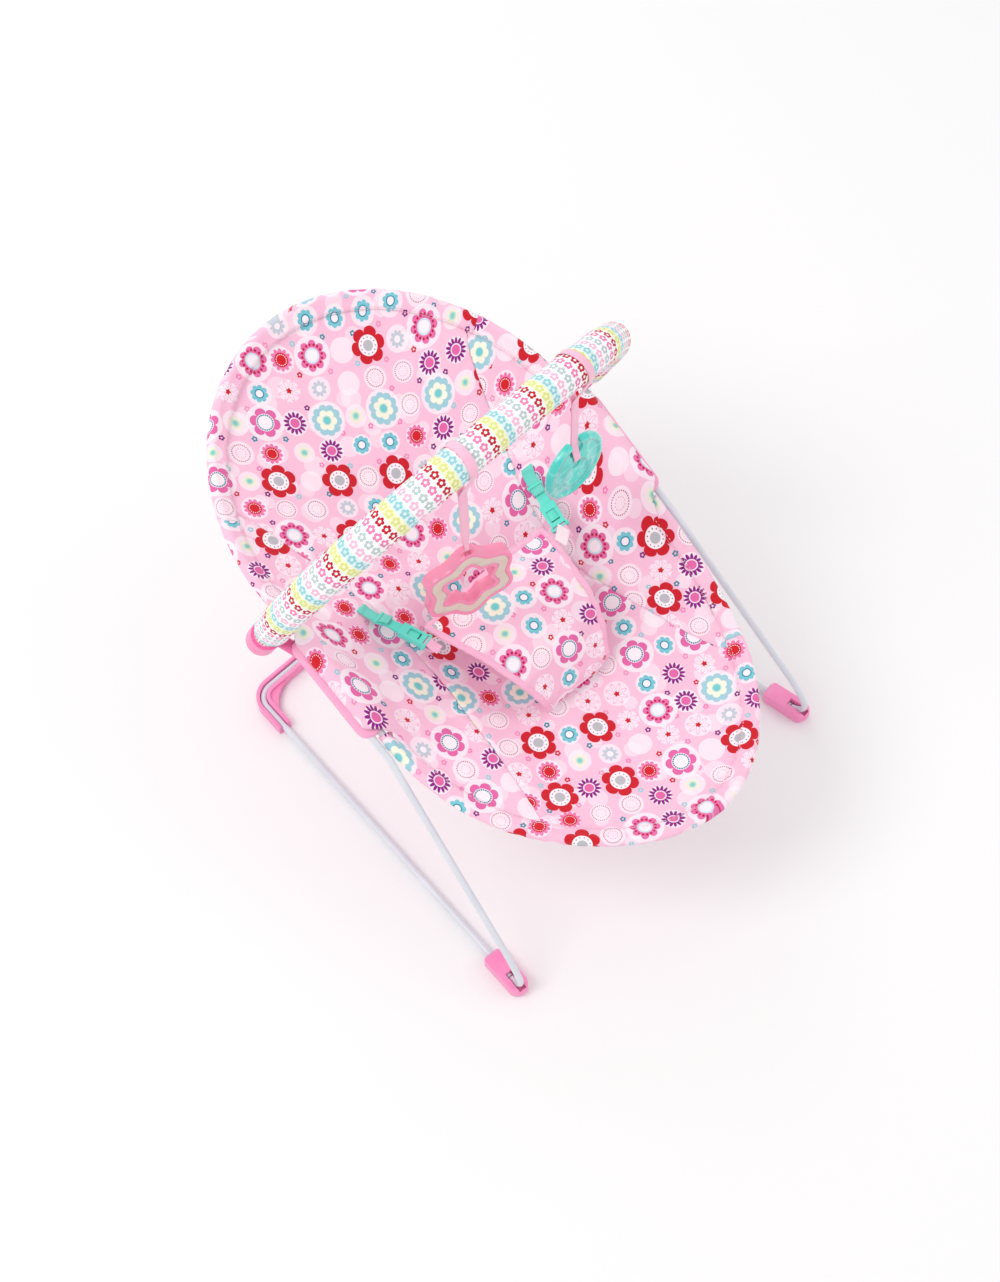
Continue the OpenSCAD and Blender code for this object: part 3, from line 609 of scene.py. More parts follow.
def settle(points, pinned, slack, weight=0.5, frames=20, most=6.0):
    """How far each point of a cloth grid moves when it is cut a little too large, held where pinned, and left to hang.

    Blender's Cloth runs on a coarse copy.  The result is in millimetres, and never more than most."""
    rows, cols = points.shape[:2]
    i = np.unique(np.linspace(0, rows - 1, max(8, rows // 3)).round().astype(int))
    j = np.unique(np.linspace(0, cols - 1, max(8, cols // 3)).round().astype(int))
    coarse = points[np.ix_(i, j)]
    hold = pinned[np.ix_(i, j)].ravel()
    start = coarse.reshape(-1, 3) * MM
    mesh = bpy.data.meshes.new("trial_cloth")
    mesh.from_pydata(start.tolist(), [], grid_faces(len(i), len(j)))
    trial = add("trial_cloth", mesh)
    group = trial.vertex_groups.new(name="held")
    for k, share in enumerate(hold):
        group.add([k], float(share), "REPLACE")
    cloth = trial.modifiers.new("cloth", "CLOTH")
    cloth.settings.vertex_group_mass = "held"
    cloth.settings.quality = 6
    cloth.settings.mass = 0.12
    cloth.settings.tension_stiffness = cloth.settings.compression_stiffness = 18
    cloth.settings.shear_stiffness = 8
    cloth.settings.bending_stiffness = 0.35
    cloth.settings.shrink_min = -slack
    cloth.settings.effector_weights.gravity = weight
    cloth.point_cache.frame_start, cloth.point_cache.frame_end = 1, frames
    for frame_number in range(1, frames + 1):
        bpy.context.scene.frame_set(frame_number)
    hung = trial.evaluated_get(bpy.context.evaluated_depsgraph_get()).to_mesh()
    moved = np.empty(len(start) * 3)
    hung.vertices.foreach_get("co", moved)
    moved = ((moved.reshape(-1, 3) - start) / MM).reshape(len(i), len(j), 3)
    bpy.data.objects.remove(trial)
    bpy.data.meshes.remove(mesh)
    bpy.context.scene.frame_set(1)
    size = np.linalg.norm(moved, axis=2)
    moved *= (np.tanh(size / most) * most / np.maximum(size, 1e-9))[..., None]
    across = np.stack([[np.interp(np.arange(cols), j, line[:, k]) for k in range(3)] for line in moved])
    fine = np.stack([[np.interp(np.arange(rows), i, across[:, k, c]) for c in range(cols)] for k in range(3)])
    fine = fine.transpose(2, 1, 0)
    for _ in range(3):
        fine[1:-1] = (fine[:-2] + 2 * fine[1:-1] + fine[2:]) / 4
        fine[:, 1:-1] = (fine[:, :-2] + 2 * fine[:, 1:-1] + fine[:, 2:]) / 4
    return fine


# ---- the seat's surface, as in the CAD model
RISE_K = SIDE_SLOPE / (LINE_Y - RISE_Y)
LINE_H = FOOT_H + RISE_K * (LINE_Y - RISE_Y) ** 2 / 2
LINE_END_H = LINE_H + SIDE_SLOPE * (LINE_END - LINE_Y)
UPPER_H = LINE_END_H + (SIDE_SLOPE + UPPER_SLOPE) / 2 * (UPPER_Y - LINE_END)


def rim_z(y):
    y = np.asarray(y, float)
    bend = (SIDE_SLOPE - UPPER_SLOPE) / (UPPER_Y - LINE_END)
    return np.select(
        [y < RISE_Y, y < LINE_Y, y < LINE_END, y < UPPER_Y],
        [FOOT_H + 0 * y, FOOT_H + RISE_K * (y - RISE_Y) ** 2 / 2, LINE_H + SIDE_SLOPE * (y - LINE_Y),
         LINE_END_H + SIDE_SLOPE * (y - LINE_END) - bend * (y - LINE_END) ** 2 / 2],
        UPPER_H + UPPER_SLOPE * (y - UPPER_Y) + UPPER_CURL * (y - UPPER_Y) ** 2)


def rim_x(y):
    y = np.asarray(y, float)
    foot = np.clip((FOOT_Y - y) / (RIM_LEN + FOOT_Y), 0, 1)
    head = np.clip((y - HEAD_Y) / (RIM_LEN - HEAD_Y), 0, 1)
    return RIM_W * np.where(y < FOOT_Y, (1 - foot ** FOOT_POWER) ** (1 / FOOT_POWER), np.sqrt(1 - head ** 2))


def curve_at(knots, values, x):
    """Catmull-Rom value at x through the knots."""
    knots, values = np.asarray(knots, float), np.asarray(values, float)
    x = np.asarray(x, float)
    i = np.clip(np.searchsorted(knots, x, side="right") - 1, 0, len(knots) - 2)
    before, after = np.maximum(i - 1, 0), np.minimum(i + 2, len(knots) - 1)
    w = knots[i + 1] - knots[i]
    t = (x - knots[i]) / w
    ma = (values[i + 1] - values[before]) / np.maximum(knots[i + 1] - knots[before], 1)
    mb = (values[after] - values[i]) / np.maximum(knots[after] - knots[i], 1)
    return ((2 * t ** 3 - 3 * t ** 2 + 1) * values[i] + (t ** 3 - 2 * t ** 2 + t) * w * ma
            + (3 * t ** 2 - 2 * t ** 3) * values[i + 1] + (t ** 3 - t ** 2) * w * mb)


def sag(y):
    return SLING_DROP * curve_at(SLING_Y, SLING_SAG, y)


def seat_z(x, y):
    w = np.maximum(rim_x(y), 1)
    return rim_z(y) - sag(y) * (1 - np.minimum(np.abs(x) / w, 1) ** SLING_POWER)


def seam_share(y):
    turn = np.clip((y + WING_END) / (2 * WING_END), 0, 1)
    return 1 - WING_DEPTH * np.sin(math.pi * turn) ** 0.6


def edge_x(y):
    lean = np.sqrt(1 + ((rim_x(y + 1) - rim_x(y - 1)) / 2) ** 2)
    inner = np.maximum(rim_x(y) - (HEM_R + HEM_GAP) * lean, 0)
    return np.where(np.abs(y - HOUSING_Y) < HOUSING_HALF, np.minimum(inner, HOUSING_X), inner)


FLAT_Y = np.linspace(-RIM_LEN, RIM_LEN, 600)
FLAT_V = np.concatenate([[0], np.cumsum(np.hypot(np.diff(FLAT_Y), np.diff(seat_z(0, FLAT_Y))))])


def flat_place(x, y, wing=0):
    """Place on the flat cloth: the wings are cut from another stretch of it, turned a little."""
    v = np.interp(y, FLAT_Y, FLAT_V)
    u = x * (1 + 0.16 * (sag(y) / np.maximum(rim_x(y), 1)))
    if not wing:
        return np.stack([u + 400, v + 300], axis=-1)
    a = math.radians(14) * wing
    return np.stack([u * math.cos(a) - v * math.sin(a) + 1300 + 500 * wing, u * math.sin(a) + v * math.cos(a) + 300],
                    axis=-1)


def cloth_relief(x, y, seam_away, wing):
    """How far the padded cloth stands off its middle surface: rolled edges, puckers and slack."""
    edge_away = np.maximum((wing_edge(y) if wing else edge_x(y)) - np.abs(x), 0)
    roll = -1.5 * np.exp(-(seam_away / 3.2) ** 2)
    pucker = 0.55 * np.sin(y * 2 * math.pi / 17 + 2.2 * np.sin(y / 31)) * np.exp(-seam_away / 11)
    rim_pucker = 0.8 * np.sin(y * 2 * math.pi / 23 + 1.7 * np.sin(y / 43) + 1) * np.exp(-edge_away / 16)
    slack = 1.1 * waves(x, y, 3 + wing, size=85) * np.clip(seam_away / 25, 0, 1) * np.clip(edge_away / 25, 0, 1)
    return roll + pucker + rim_pucker + slack


def flap_rise(x, y):
    """The wing is drawn over the top of the side housing, and turns down over its outer edge."""
    along = smoothstep(FLAP_END - np.abs(y - HOUSING_Y), 0, FLAP_SOFT)
    climb = smoothstep(np.abs(x), *FLAP_CLIMB)
    turned = np.clip((np.abs(x) - FLAP_FOLD) / (FLAP_X - FLAP_FOLD), 0, 1)
    return along * (FLAP_LIFT * climb - FLAP_TURN * turned ** 2)


def wing_edge(y):
    """Half-width of a wing: as far as the hem, and further out where it covers the side housing."""
    return edge_x(y) + (FLAP_X - edge_x(y)) * smoothstep(FLAP_REACH - np.abs(y - HOUSING_Y), 0, 24)


def cover(name, x, y, seam_away, wing, nodes, material):
    """A sewn panel of the sling over the grid x, y."""
    middle = seat_z(x, y) + (flap_rise(x, y) if wing else 0)
    away = np.minimum(seam_away, np.maximum((wing_edge(y) if wing else edge_x(y)) - np.abs(x), 0))
    surface = np.stack([x, y, middle], axis=-1)
    held = np.clip(1 - (away - 1.5) / 6, 0.02 if not wing else 0.2, 1)
    held = np.maximum(held, np.clip(1 - np.minimum(y - y.min(), y.max() - y) / 8, 0, 1))
    relief = cloth_relief(x, y, seam_away, wing) + settle(surface, held, 0.02)[..., 2] * np.clip(away / 6, 0, 1)
    top = np.stack([x, y, middle + CLOTH_T / 2 + relief], axis=-1)
    under = np.stack([x, y, middle - CLOTH_T / 2 + relief * 0.6], axis=-1)
    points, faces = closed_sheet(top, under)
    flat = flat_place(x, y, wing).reshape(-1, 2)
    piece = new_mesh(name, points, faces, material, "seat", np.concatenate([flat, flat]))
    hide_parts(*nodes)
    return piece


def make_sling(material):
    end = RIM_LEN - HEM_R - HEM_GAP
    rows, cols = 230, 120
    y = -end * np.cos(np.linspace(0, math.pi, rows))
    y = 0.55 * y + 0.45 * np.linspace(-end, end, rows)
    share = np.linspace(-1, 1, cols)
    half = edge_x(y) * seam_share(y) - SEAM_GAP
    x = half[:, None] * share[None]
    yy = np.repeat(y[:, None], cols, 1)
    sewn = np.where(np.abs(yy) < WING_END, half[:, None] - np.abs(x), 99)
    panel = cover("seat_cover", x, yy, sewn, 0, ["seat_panel"], material)
    for side, sign in SIDES.items():
        rows, cols = 210, 46
        y = np.linspace(-WING_END + 2, WING_END - 2, rows)
        low, high = edge_x(y) * seam_share(y) + SEAM_GAP, wing_edge(y)
        x = low[:, None] + (high - low)[:, None] * np.linspace(0, 1, cols)[None]
        yy = np.repeat(y[:, None], cols, 1)
        away = x - low[:, None]
        order = slice(None) if sign > 0 else slice(None, None, -1)
        piece = cover(f"wing_cover_{side}", sign * x[:, order], yy[:, order], away[:, order], sign,
                      [f"seat_wing_{side}", f"side_flap_{side}"], material)


def rim_path(head):
    """The rim's line over the head or the foot, from the right side to the left, in fine steps."""
    a = np.linspace(0, math.pi, 900)
    if head:
        x, y = RIM_W * np.cos(a), HEAD_Y + (RIM_LEN - HEAD_Y) * np.sin(a)
        start = np.linspace(70, HEAD_Y, 20)[:-1]
    else:
        x = RIM_W * np.sign(np.cos(a)) * np.abs(np.cos(a)) ** (2 / FOOT_POWER)
        y = FOOT_Y - (RIM_LEN + FOOT_Y) * np.sin(a) ** (2 / FOOT_POWER)
        start = np.linspace(LINE_Y - 2, FOOT_Y, 8)[:-1]
    x = np.concatenate([RIM_W + 0 * start, x, -RIM_W + 0 * start])
    y = np.concatenate([start, y, start[::-1]])
    return np.stack([x, y, rim_z(y)], axis=1)


def hem_sections(path, at, seed):
    """Cross-sections of the cloth that wraps the wire and is stitched down on the seat, and their axes."""
    t = tangents(path)
    plan = unit(np.stack([t[:, 1], -t[:, 0], 0 * t[:, 0]], axis=1))
    plan *= -np.sign((plan * np.stack([path[:, 0], path[:, 1] - 20, 0 * at], axis=1)).sum(1))[:, None]
    inner = path + HEM_FLAP * plan
    inner[:, 2] = seat_z(inner[:, 0], inner[:, 1]) + CLOTH_T / 2
    axis = unit(inner - path)
    length = np.linalg.norm(inner - path, axis=1)
    up = unit(np.cross(t, axis))
    up *= np.sign(up[:, 2])[:, None]
    turn = np.radians(np.linspace(52, 308, 15))
    lump = 1 + 0.035 * np.sin(at / 3.4 + 3 * np.sin(at / 29)) + 0.03 * waves(at, 0 * at, seed, size=26)
    r = 5.5 * lump
    section = np.empty((len(path), len(turn) + 4, 2))
    section[:, 1:-3, 0] = r[:, None] * np.cos(turn)
    section[:, 1:-3, 1] = r[:, None] * np.sin(turn)
    pucker = 0.3 * np.sin(at / 2.1 + 2 * np.sin(at / 17))
    section[:, 0] = np.stack([length * 0.72, 2.5 + pucker], axis=1)
    section[:, -1] = np.stack([length, 1.1 + 0 * at], axis=1)
    section[:, -2] = np.stack([length, -0.6 + 0 * at], axis=1)
    section[:, -3] = np.stack([length * 0.6, -2.2 + 0 * at], axis=1)
    return section, axis, up, inner


def make_hem(part, material, thread):
    path, at = resample(rim_path(part == "head"), 2.6)
    section, axis, up, inner = hem_sections(path, at, 5)
    wing = np.where(np.abs(path[:, 1]) < WING_END - 3, np.sign(path[:, 0]), 0).astype(int)
    cuts = [0] + [i for i in range(1, len(wing)) if wing[i] != wing[i - 1]] + [len(wing)]
    points, faces, flat = [], [], []
    reach = np.linalg.norm(inner[:, :2] - path[:, :2], axis=1)
    for a, b in zip(cuts[:-1], cuts[1:]):
        b = min(b + 1, len(wing))
        rings, quads = sweep(path[a:b], section[a:b], axis[a:b], up[a:b])
        base = sum(len(p) for p in points)
        points.append(rings.reshape(-1, 3))
        faces += [[base + i for i in f] for f in quads]
        # on the flat cloth the wrapped part lies further out: the arc adds to the distance from the wire
        outward = (path[a:b, :2] - inner[a:b, :2]) / reach[a:b, None]
        turn = np.concatenate([[-0.72 * HEM_FLAP], np.radians(np.linspace(0, 256, 15)) * 5.5 - 4, [30, 26, -HEM_FLAP]])
        place = path[a:b, None, :2] + outward[:, None] * turn[None, :, None]
        flat.append(flat_place(place[..., 0], place[..., 1], wing[a]).reshape(-1, 2))
    piece = new_mesh(f"hem_cover_{part}", np.concatenate(points), faces, material, "seat", np.concatenate(flat))
    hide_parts(f"hem_{part}")
    line = path + axis * (0.86 * np.linalg.norm(inner - path, axis=1))[:, None] + up * 2.1
    stitches(f"hem_stitches_{part}", line, thread, "seat")


def stitches(name, line, material, body, pitch=4.4, length=2.7, r=0.32):
    """A row of thread along a line: each stitch is a small bead that dips into the cloth at both ends."""
    path, at = resample(line, pitch)
    t = tangents(path)
    side = unit(np.cross(t, [0.0, 0.0, 1.0]))
    up = np.cross(side, t)
    points, faces = [], []
    profile = ((-0.5, 0.2, -0.35), (-0.3, 1, 0.1), (0.3, 1, 0.1), (0.5, 0.2, -0.35))
    ring = circle(6)
    for p, d, s, u in zip(path, t, side, up):
        base = len(points)
        for share, width, rise in profile:
            for a, b in ring:
                points.append(p + d * share * length + s * a * r * width + u * (b * r * width + rise))
        faces += [[base + i for i in f] for f in grid_faces(4, 6, wrap=True)]
        faces += [[base + 5 - j for j in range(6)], [base + 18 + j for j in range(6)]]
    new_mesh(name, points, faces, material, body)


# ---- crotch panel and its label
def lap_surface(s, u):
    """Point of the crotch panel's middle surface: s runs from its seam on the seat, 0, to the lap, 7."""
    knots = np.arange(len(LAP_Y))
    y, z, w = (curve_at(knots, values, s) for values in (LAP_Y, LAP_Z, LAP_W))
    return np.stack([u * w + 0 * s, y + 0 * u, z - LAP_CROWN * u * u * np.minimum(s / 4, 1)], axis=-1)


def surface_normals(grid):
    n = unit(np.cross(np.gradient(grid, axis=1), np.gradient(grid, axis=0)))
    return n * np.sign(n[..., 2:])


def make_crotch(material, binding):
    rows, cols = 90, 96
    s, u = np.meshgrid(np.linspace(0, 7, rows), np.linspace(-1, 1, cols), indexing="ij")
    middle = lap_surface(s, u)
    normal = surface_normals(middle)
    side_away = (1 - np.abs(u)) * curve_at(np.arange(len(LAP_Y)), LAP_W, s)
    top_away = np.linalg.norm(middle - middle[-1:], axis=-1)
    away = np.minimum(side_away, top_away)
    ripple = 1.3 * np.sin(s * 5.1 + 2 * np.sin(s * 1.7) + (u > 0) * 1.9) * np.exp(-side_away / 13)
    ripple *= np.clip(s - 0.5, 0, 1)
    slack = 1.2 * waves(middle[..., 0], middle[..., 1], 21, size=62) * np.clip(away / 18, 0, 1)
    quilt = 0.9 * np.clip(away / 9, 0, 1) ** 0.5 - 0.9
    dent = -1.6 * np.exp(-((s - 1.1) / 0.55) ** 2) * (1 - u * u)
    held = np.clip(1 - (side_away - 1) / 5, 0.03, 1)
    held = np.maximum(held, np.clip(1.6 - s, 0, 1))
    hang = (settle(middle, held, 0.03, 0.8, most=4.0) * normal).sum(-1) * np.clip(side_away / 6, 0, 1)
    relief = (ripple + slack + dent + hang)[..., None] * normal
    half = ((CLOTH_T / 2 + quilt) * (1 - 0.3 * np.exp(-s / 0.4)))[..., None] * normal
    points, faces = closed_sheet(middle + relief + half, middle + relief - half)
    along = lengths(middle[:, cols // 2])
    flat = np.stack([middle[..., 0] + 2400, along[:, None] + 0 * u], axis=-1).reshape(-1, 2)
    piece = new_mesh("crotch_cover", points, faces, material, "seat", np.concatenate([flat, flat]))
    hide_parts("crotch_panel")
    edge = np.concatenate([(middle + relief)[1:, 0], (middle + relief)[-1, 1:-1], (middle + relief)[:0:-1, -1]])
    out = np.concatenate([normal[1:, 0], normal[-1, 1:-1], normal[:0:-1, -1]])
    make_binding("crotch_binding", edge, out, binding)


def smooth_path(path, passes, closed=False):
    for _ in range(passes):
        if closed:
            path = (np.roll(path, 1, 0) + 2 * path + np.roll(path, -1, 0)) / 4
        else:
            inner = (path[:-2] + 2 * path[1:-1] + path[2:]) / 4
            path = np.concatenate([path[:1], inner, path[-1:]])
    return path


def make_binding(name, edge, normal, material, deep=3.6, thick=2.5):
    """Tape folded over a cloth's edge: a rounded section whose middle is just inside the edge."""
    edge = smooth_path(edge, 6)
    path, at = resample(edge, 1.6)
    step = lengths(edge)
    up = unit(np.stack([np.interp(at, step, normal[:, k]) for k in range(3)], axis=1))
    t = tangents(path)
    inward = unit(np.cross(up, t))
    middle = path.mean(0)
    inward *= np.sign(((middle - path) * inward).sum(1))[:, None]
    up = unit(np.cross(t, inward)) * np.sign((np.cross(t, inward) * up).sum(1))[:, None]
    a = np.arange(16) * 2 * math.pi / 16
    shape = np.stack([np.sign(np.cos(a)) * np.abs(np.cos(a)) ** 0.7 * deep, np.sin(a) * thick], axis=1)
    lump = 1 + 0.05 * np.sin(at / 1.7 + np.sin(at / 9)) + 0.04 * waves(at, 0 * at, 8, size=18)
    section = shape[None] * lump[:, None, None]
    rings, faces = sweep(path + inward * deep * 0.5, section, inward, up)
    cloth = np.stack([np.repeat(at[:, None], 16, 1), np.repeat((a * 3)[None], len(at), 0)], axis=-1).reshape(-1, 2)
    piece = new_mesh(name, rings.reshape(-1, 3), faces, material, "seat", cloth)
    stitches(name + "_thread", path + inward * (deep * 1.1) + up * (thick * 0.92), THREAD, "seat", 3.4, 2.1, 0.26)


def through(knots, count):
    """A smooth path through a few points."""
    fine = np.linspace(0, len(knots) - 1, count)
    return np.stack([curve_at(np.arange(len(knots)), knots[:, k], fine) for k in range(3)], axis=1)


def strip(name, path, across, width, thick, material, body, closed=False):
    """Flat tape along a path: across is the direction of its width, one or one for each point."""
    t = tangents(path, closed)
    across = unit(across - (across * t).sum(1, keepdims=True) * t)
    face = np.cross(t, across)
    corner = np.array([(-1, -0.6), (-0.96, -1), (-0.5, -1), (0, -1), (0.5, -1), (0.96, -1), (1, -0.6),
                       (1, 0.6), (0.96, 1), (0.5, 1), (0, 1), (-0.5, 1), (-0.96, 1), (-1, 0.6)])
    section = corner[None] * np.stack([np.broadcast_to(width, (len(path),)) / 2, np.full(len(path), thick / 2)],
                                      axis=1)[:, None]
    rings, faces = sweep(path, section, across, face, closed)
    at = lengths(path)
    cloth = np.stack([section[..., 0], np.repeat(at[:, None], len(corner), 1)], axis=-1).reshape(-1, 2)
    return new_mesh(name, rings.reshape(-1, 3), faces, material, body, cloth)


def make_label(material):
    """A blank white tag on the right edge of the crotch panel, curled away from it."""
    low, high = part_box("care_label")
    middle = np.array((low + high) / 2) / MM
    turn = Matrix.Rotation(math.radians(8), 3, "Z") @ Matrix.Rotation(math.radians(-62), 3, "Y")
    long, across, normal = (np.array(turn.col[k]) for k in range(3))
    u = np.linspace(-10, 10, 24)
    curl = 0.018 * (u + 10) ** 2 - 2.4
    path = middle + u[:, None] * long + curl[:, None] * normal * 0.6
    piece = strip("care_label_tag", path, across, 14.0, 0.5, material, "seat")
    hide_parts("care_label")


# ---- toy bar
def arch_v(x):
    return ARCH_H * (1 - (np.abs(x) / ARCH_W) ** ARCH_N) ** (1 / ARCH_N)


def arch_point(x, v):
    return np.stack([x, ARCH_Y - v * math.sin(ARCH_LEAN), ARCH_Z + v * math.cos(ARCH_LEAN)], axis=-1)


ARCH_NORMAL = np.array([0, math.cos(ARCH_LEAN), math.sin(ARCH_LEAN)])


def make_sleeve(material):
    a = np.linspace(math.pi, 0, 6000)[1:-1]
    x = ARCH_W * np.sign(np.cos(a)) * np.abs(np.cos(a)) ** (2 / ARCH_N)
    v = ARCH_H * np.sin(a) ** (2 / ARCH_N)
    path, at = resample(arch_point(x, v)[v > 7], 2.2)
    t = tangents(path)
    side = np.repeat(ARCH_NORMAL[None], len(path), 0)
    out = unit(np.cross(side, t))
    end = np.minimum(at, at[-1] - at)
    r = np.interp(end, (0, 1.2, 9, 15, 22), (10.6, 12.4, 13, 15.6, SLEEVE_R))
    bend = np.linalg.norm(np.gradient(t, axis=0), axis=1) / np.gradient(at) * 60
    turn = np.linspace(0, 2 * math.pi, 48, endpoint=False)
    ring, along = turn[None], at[:, None]
    inner = np.clip(-np.sin(ring) * np.sign((out * [0, 0, 1]).sum(1))[:, None] + 0.2, 0, 1)
    lump = 0.28 * waves(along, ring * SLEEVE_R, 31, size=48)
    fold = 0.55 * np.clip(bend[:, None], 0, 1) * inner * np.sin(along / 1.25 + 1.3 * np.sin(along / 11))
    gather = 0.5 * np.exp(-end[:, None] / 12) * np.sin(ring * 11 + 0.6 * np.sin(along / 5))
    radius = r[:, None] + lump + fold + gather
    section = np.stack([radius * np.cos(ring), radius * np.sin(ring)], axis=-1)
    rings, faces = sweep(path, section, side, out)
    cloth = np.stack([along + 0 * ring, SLEEVE_R * ring + 0 * along], axis=-1).reshape(-1, 2)
    piece = new_mesh("bar_sleeve_cover", rings.reshape(-1, 3), faces, material, "toy_bar", cloth)
    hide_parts("bar_sleeve")
    for k, cut in enumerate((at < 16, at > at[-1] - 16)):
        line = path[cut][4:5]
        i = int(np.argmin(np.linalg.norm(path - line, axis=1)))
        hoop = path[i] + (radius[i][:, None] + 0.1) * (np.cos(turn)[:, None] * side[i] + np.sin(turn)[:, None] * out[i])
        hoop = np.concatenate([hoop, hoop[:1]])
        stitches(f"sleeve_stitches_{k}", hoop, THREAD, "toy_bar", 4.0, 2.5, 0.28)


# ---- ribbons, straps
def make_ribbon(name, node, body, x, low, turn_r, end_width, end_axis, material):
    """A loop of ribbon round the sleeve whose two ends run down together and pass round the toy's bridge."""
    loop = SLEEVE_R + 1.55
    half_t, pinch = 0.62, -46.0
    open_at = -(math.pi / 2 - math.acos(loop / -pinch))
    arc = np.linspace(open_at, math.pi - open_at, 60)
    top = np.stack([loop * np.cos(arc), loop * np.sin(arc)], axis=1)
    z = np.linspace(pinch, -low + turn_r * 2.6, 40)
    left = np.stack([-half_t + 0 * z, z], axis=1)
    bottom_a = np.linspace(math.pi + 0.35, 2 * math.pi - 0.35, 24)
    bottom = np.stack([turn_r * np.cos(bottom_a), -low + turn_r * np.sin(bottom_a)], axis=1)
    flat = np.concatenate([top, left, bottom, left[::-1] * [-1, 1]])
    flat = np.concatenate([flat, flat[:1]])
    flat3 = np.concatenate([flat, np.zeros((len(flat), 1))], axis=1)
    ring, at = resample(flat3, 1.3)
    ring = smooth_path(ring[:-1], 8, closed=True)
    centre = arch_point(np.array(x), arch_v(x))
    step = arch_point(np.array(x + 1), arch_v(x + 1)) - arch_point(np.array(x - 1), arch_v(x - 1))
    bar = unit(step)
    ahead = unit(np.cross([0, 0, 1.0], bar))
    down = np.clip(-ring[:, 1] / low, 0, 1)[:, None]
    end_axis = np.asarray(end_axis, float)
    width_axis = unit(bar * (1 - down) + end_axis * down)
    forward = unit(ahead * (1 - down) + np.cross([0, 0, 1.0], end_axis) * down)
    sway = 1.2 * np.sin(down * math.pi) ** 2 * np.array([0.4, 0, 0])
    path = centre + forward * ring[:, :1] + np.array([0, 0, 1.0]) * ring[:, 1:2] + sway
    width = 9 + (end_width - 9) * np.clip((down[:, 0] - 0.84) / 0.12, 0, 1)
    piece = strip(name, path, width_axis, width, 0.8, material, body, closed=True)
    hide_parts(node)
    sew = centre + np.stack([bar * w for w in np.linspace(-3.6, 3.6, 12)]) + np.array([0, 0, pinch - 5])
    sew = sew + ahead * (half_t + 0.55)
    stitches(name + "_bar_tack", sew, material, body, 1.2, 1.3, 0.35)


def buckle_frame(sign):
    """Origin and axes of a buckle: across it, along it, and off its face."""
    turn = (Matrix.Rotation(math.radians(-17), 3, "Z") @ Matrix.Rotation(math.radians(8), 3, "X")
            @ Matrix.Rotation(math.radians(-20), 3, "Y"))
    axes = [np.array(turn.col[k]) * (sign, 1, 1) for k in range(3)]
    return np.array((93 * sign, 4.0, 246)), axes


def make_straps(webbing, tape):
    """Waist straps: webbing from a slit in the seat to the slot of each male buckle, and tape from each female one."""
    for side, sign in SIDES.items():
        origin, (across, along, off) = buckle_frame(sign)
        slot = origin + along * BUCKLE_SLOT
        inside = slot + along * 26 + across * 1.5
        landing = inside.copy()
        landing[2] = seat_z(landing[0], landing[1]) - 2
        knots = np.stack([slot + off * 3.4 - along * 9, slot + off * 3.0 - along * 3, slot + off * 0.6 + along * 0.2,
                          slot - off * 1.6 + along * 4, slot + along * 13 - off * 0.2 + (landing - slot) * 0.1,
                          landing * 0.8 + slot * 0.2 + (0, 0, 3.0), landing])
        path, _ = resample(through(knots, 60), 1.2)
        # no body: this strap rides on none
        piece = strip(f"waist_strap_webbing_{side}", path, across, STRAP_W, 1.3, webbing, None)
        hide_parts(f"waist_strap_{side}")
        landing * MM
        (slot + along * 4) * MM
        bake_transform(piece)
        tail = ((-16, -1.0), (-9, -0.2), (-2.2, 2.2), (0.3, 0.4), (-3, -2.2), (-12, -2.6))
        path = through(np.stack([origin + along * a + off * b for a, b in tail]), 44)
        piece = strip(f"buckle_tape_{side}", path, across, STRAP_W, 1.1, tape, "seat")


# ---- CAD nodes that stay: materials and rounded edges
def smooth_group(angle):
    """Geometry nodes that shade a mesh smooth except along edges sharper than the angle, in degrees."""
    group = bpy.data.node_groups.new("smooth_by_angle", "GeometryNodeTree")
    group.interface.new_socket("Geometry", in_out="INPUT", socket_type="NodeSocketGeometry")
    group.interface.new_socket("Geometry", in_out="OUTPUT", socket_type="NodeSocketGeometry")
    start, end = group.nodes.new("NodeGroupInput"), group.nodes.new("NodeGroupOutput")
    faces = group.nodes.new("GeometryNodeSetShadeSmooth")
    edges = group.nodes.new("GeometryNodeSetShadeSmooth")
    edges.domain = "EDGE"
    edges.inputs["Shade Smooth"].default_value = False
    between_faces = group.nodes.new("GeometryNodeInputMeshEdgeAngle")
    sharp = group.nodes.new("FunctionNodeCompare")
    sharp.operation = "GREATER_THAN"
    sharp.inputs[1].default_value = math.radians(angle)
    for source, target, socket in ((between_faces, sharp, 0), (sharp, edges, "Selection"), (start, faces, 0),
                                   (faces, edges, 0), (edges, end, 0)):
        group.links.new(source.outputs[0], target.inputs[socket])
    return group


def finish_node(name, material, group, bevel=0.0):
    node = NODES[name]
    node.data.materials.clear()
    node.data.materials.append(material)
    weld = node.modifiers.new("weld", "WELD")
    weld.merge_threshold = 0.00002
    if bevel:
        rounding = node.modifiers.new("rounding", "BEVEL")
        rounding.width, rounding.segments = bevel * MM, 2
        rounding.limit_method, rounding.angle_limit = "ANGLE", math.radians(38)
        rounding.use_clamp_overlap = True
    shade = node.modifiers.new("shade", "NODES")
    shade.node_group = group


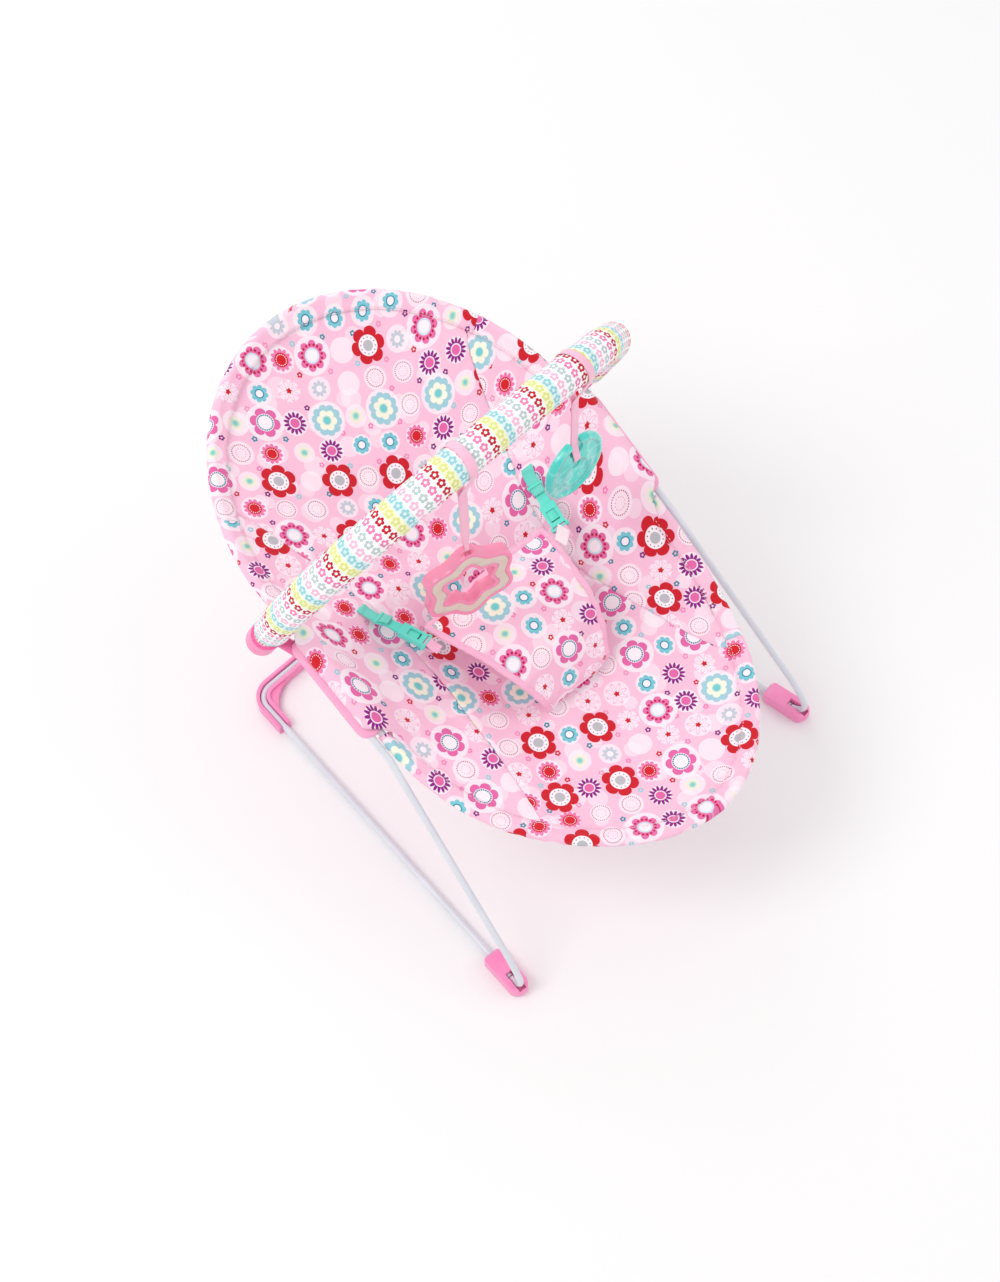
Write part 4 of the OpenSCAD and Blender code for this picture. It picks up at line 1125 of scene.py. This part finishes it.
def finish_nodes():
    pink = moulded("pink_plastic_gloss", srgb(240, 96, 164), srgb(248, 120, 180), 0.3)
    foot = moulded("foot_plastic", srgb(246, 126, 182), srgb(252, 158, 204), 0.3)
    pale = moulded("pale_plastic_gloss", srgb(248, 158, 200), srgb(251, 176, 210), 0.34)
    teal = moulded("teal_plastic_gloss", srgb(74, 216, 196), srgb(112, 232, 214), 0.3)
    white = powder_coat()
    hard, round_edges = smooth_group(34), smooth_group(40)
    for name in ("base_wire", "arm_wire_left", "arm_wire_right", "upper_frame", "lower_frame"):
        finish_node(name, white, hard)
    finish_node("bar_tube", moulded("core_plastic_matt", srgb(236, 236, 236), srgb(246, 246, 246), 0.45), hard)
    finish_node("retainer_screws", steel(), hard)
    for side in SIDES:
        finish_node(f"front_foot_{side}", foot, round_edges, 0.7)
        finish_node(f"rear_foot_{side}", foot, round_edges, 0.6)
        finish_node(f"retainer_outer_{side}", pink, hard)
        finish_node(f"retainer_inner_{side}", pale, hard)
        finish_node(f"bar_socket_{side}", pink, hard)
        finish_node(f"bar_plug_{side}", pale, hard)
        finish_node(f"buckle_female_{side}", teal, round_edges, 0.5)
        finish_node(f"buckle_male_{side}", teal, round_edges, 0.4)
    finish_node("rattle_case", moulded("rattle_plastic_gloss", srgb(250, 132, 172), srgb(253, 158, 190), 0.2,
                                       Subsurface_Weight=0.1), round_edges, 0.8)
    window = Graph("clear_gold", Roughness=0.06, Alpha=0.8, Coat_Weight=1.0, Subsurface_Weight=0.2)
    at = window.place()
    window.base(window.mix(window.noise(at, 70.0, 2.0), srgb(255, 220, 196), srgb(255, 246, 228)))
    window.bump(window.noise(at, 110.0, 1.0), 0.5, 0.003)
    finish_node("rattle_window", window.material, round_edges, 0.7)
    beads = Graph("bead_colours", Roughness=0.25, Coat_Weight=0.6)
    island = Field(beads, beads.node("ShaderNodeNewGeometry").outputs["Random Per Island"])
    beads.base(beads.steps(island, [srgb(214, 20, 40), srgb(244, 208, 60), srgb(240, 250, 250), srgb(200, 20, 60)]))
    finish_node("rattle_beads", beads.material, round_edges)
    gel = Graph("teether_gel", Roughness=0.12, IOR=1.42, Transmission_Weight=0.1, Subsurface_Weight=0.3,
                Subsurface_Scale=0.01, Coat_Weight=1.0)
    at = gel.place()
    # painted highlight: streaks of lighter turquoise stand in for the bright glints of light on the clear gel
    painted_highlight_streaks = (gel.noise(at, 60.0, 1.5) - 0.5).op("ABSOLUTE").op("MULTIPLY_ADD", -9.0, 0.75, clamp=True)
    gel.base(gel.mix(painted_highlight_streaks, srgb(66, 224, 212), srgb(150, 242, 234)))
    gel.bump(gel.noise(at, 80.0, 1.0), 0.18, 0.003)
    finish_node("teether_ring", gel.material, round_edges, 0.9)


# ---- the whole scene
make_camera()
make_stage()
SEAT_PRINT = print_material("seat_print_cloth", srgb(248, 188, 215))
THREAD = plain_cloth("thread", srgb(246, 196, 218), srgb(250, 216, 230), 0.6)
make_sling(SEAT_PRINT)
make_hem("head", SEAT_PRINT, THREAD)
make_hem("foot", SEAT_PRINT, THREAD)
TAPE = plain_cloth("binding_tape", srgb(248, 176, 208), srgb(250, 192, 218), 0.6)
make_crotch(SEAT_PRINT, TAPE)
make_label(plain_cloth("label_tape_white", srgb(250, 248, 248), srgb(255, 254, 254), 0.6))
make_sleeve(sleeve_material())
SATIN = plain_cloth("ribbon_satin", srgb(250, 178, 206), srgb(253, 200, 222), 0.38)
make_ribbon("rattle_ribbon_loop", "rattle_ribbon", "rattle", RATTLE_X, RATTLE_LOW, RATTLE_TURN, 4.2,
            (math.cos(RATTLE_YAW), math.sin(RATTLE_YAW), 0), SATIN)
make_ribbon("teether_ribbon_loop", "teether_ribbon", "teether", TEETHER_X, TEETHER_LOW, TEETHER_TURN, 8.0,
            (1, 0, 0), SATIN)
make_straps(plain_cloth("waist_webbing", srgb(84, 208, 190), srgb(120, 222, 206), 0.6), TAPE)
finish_nodes()
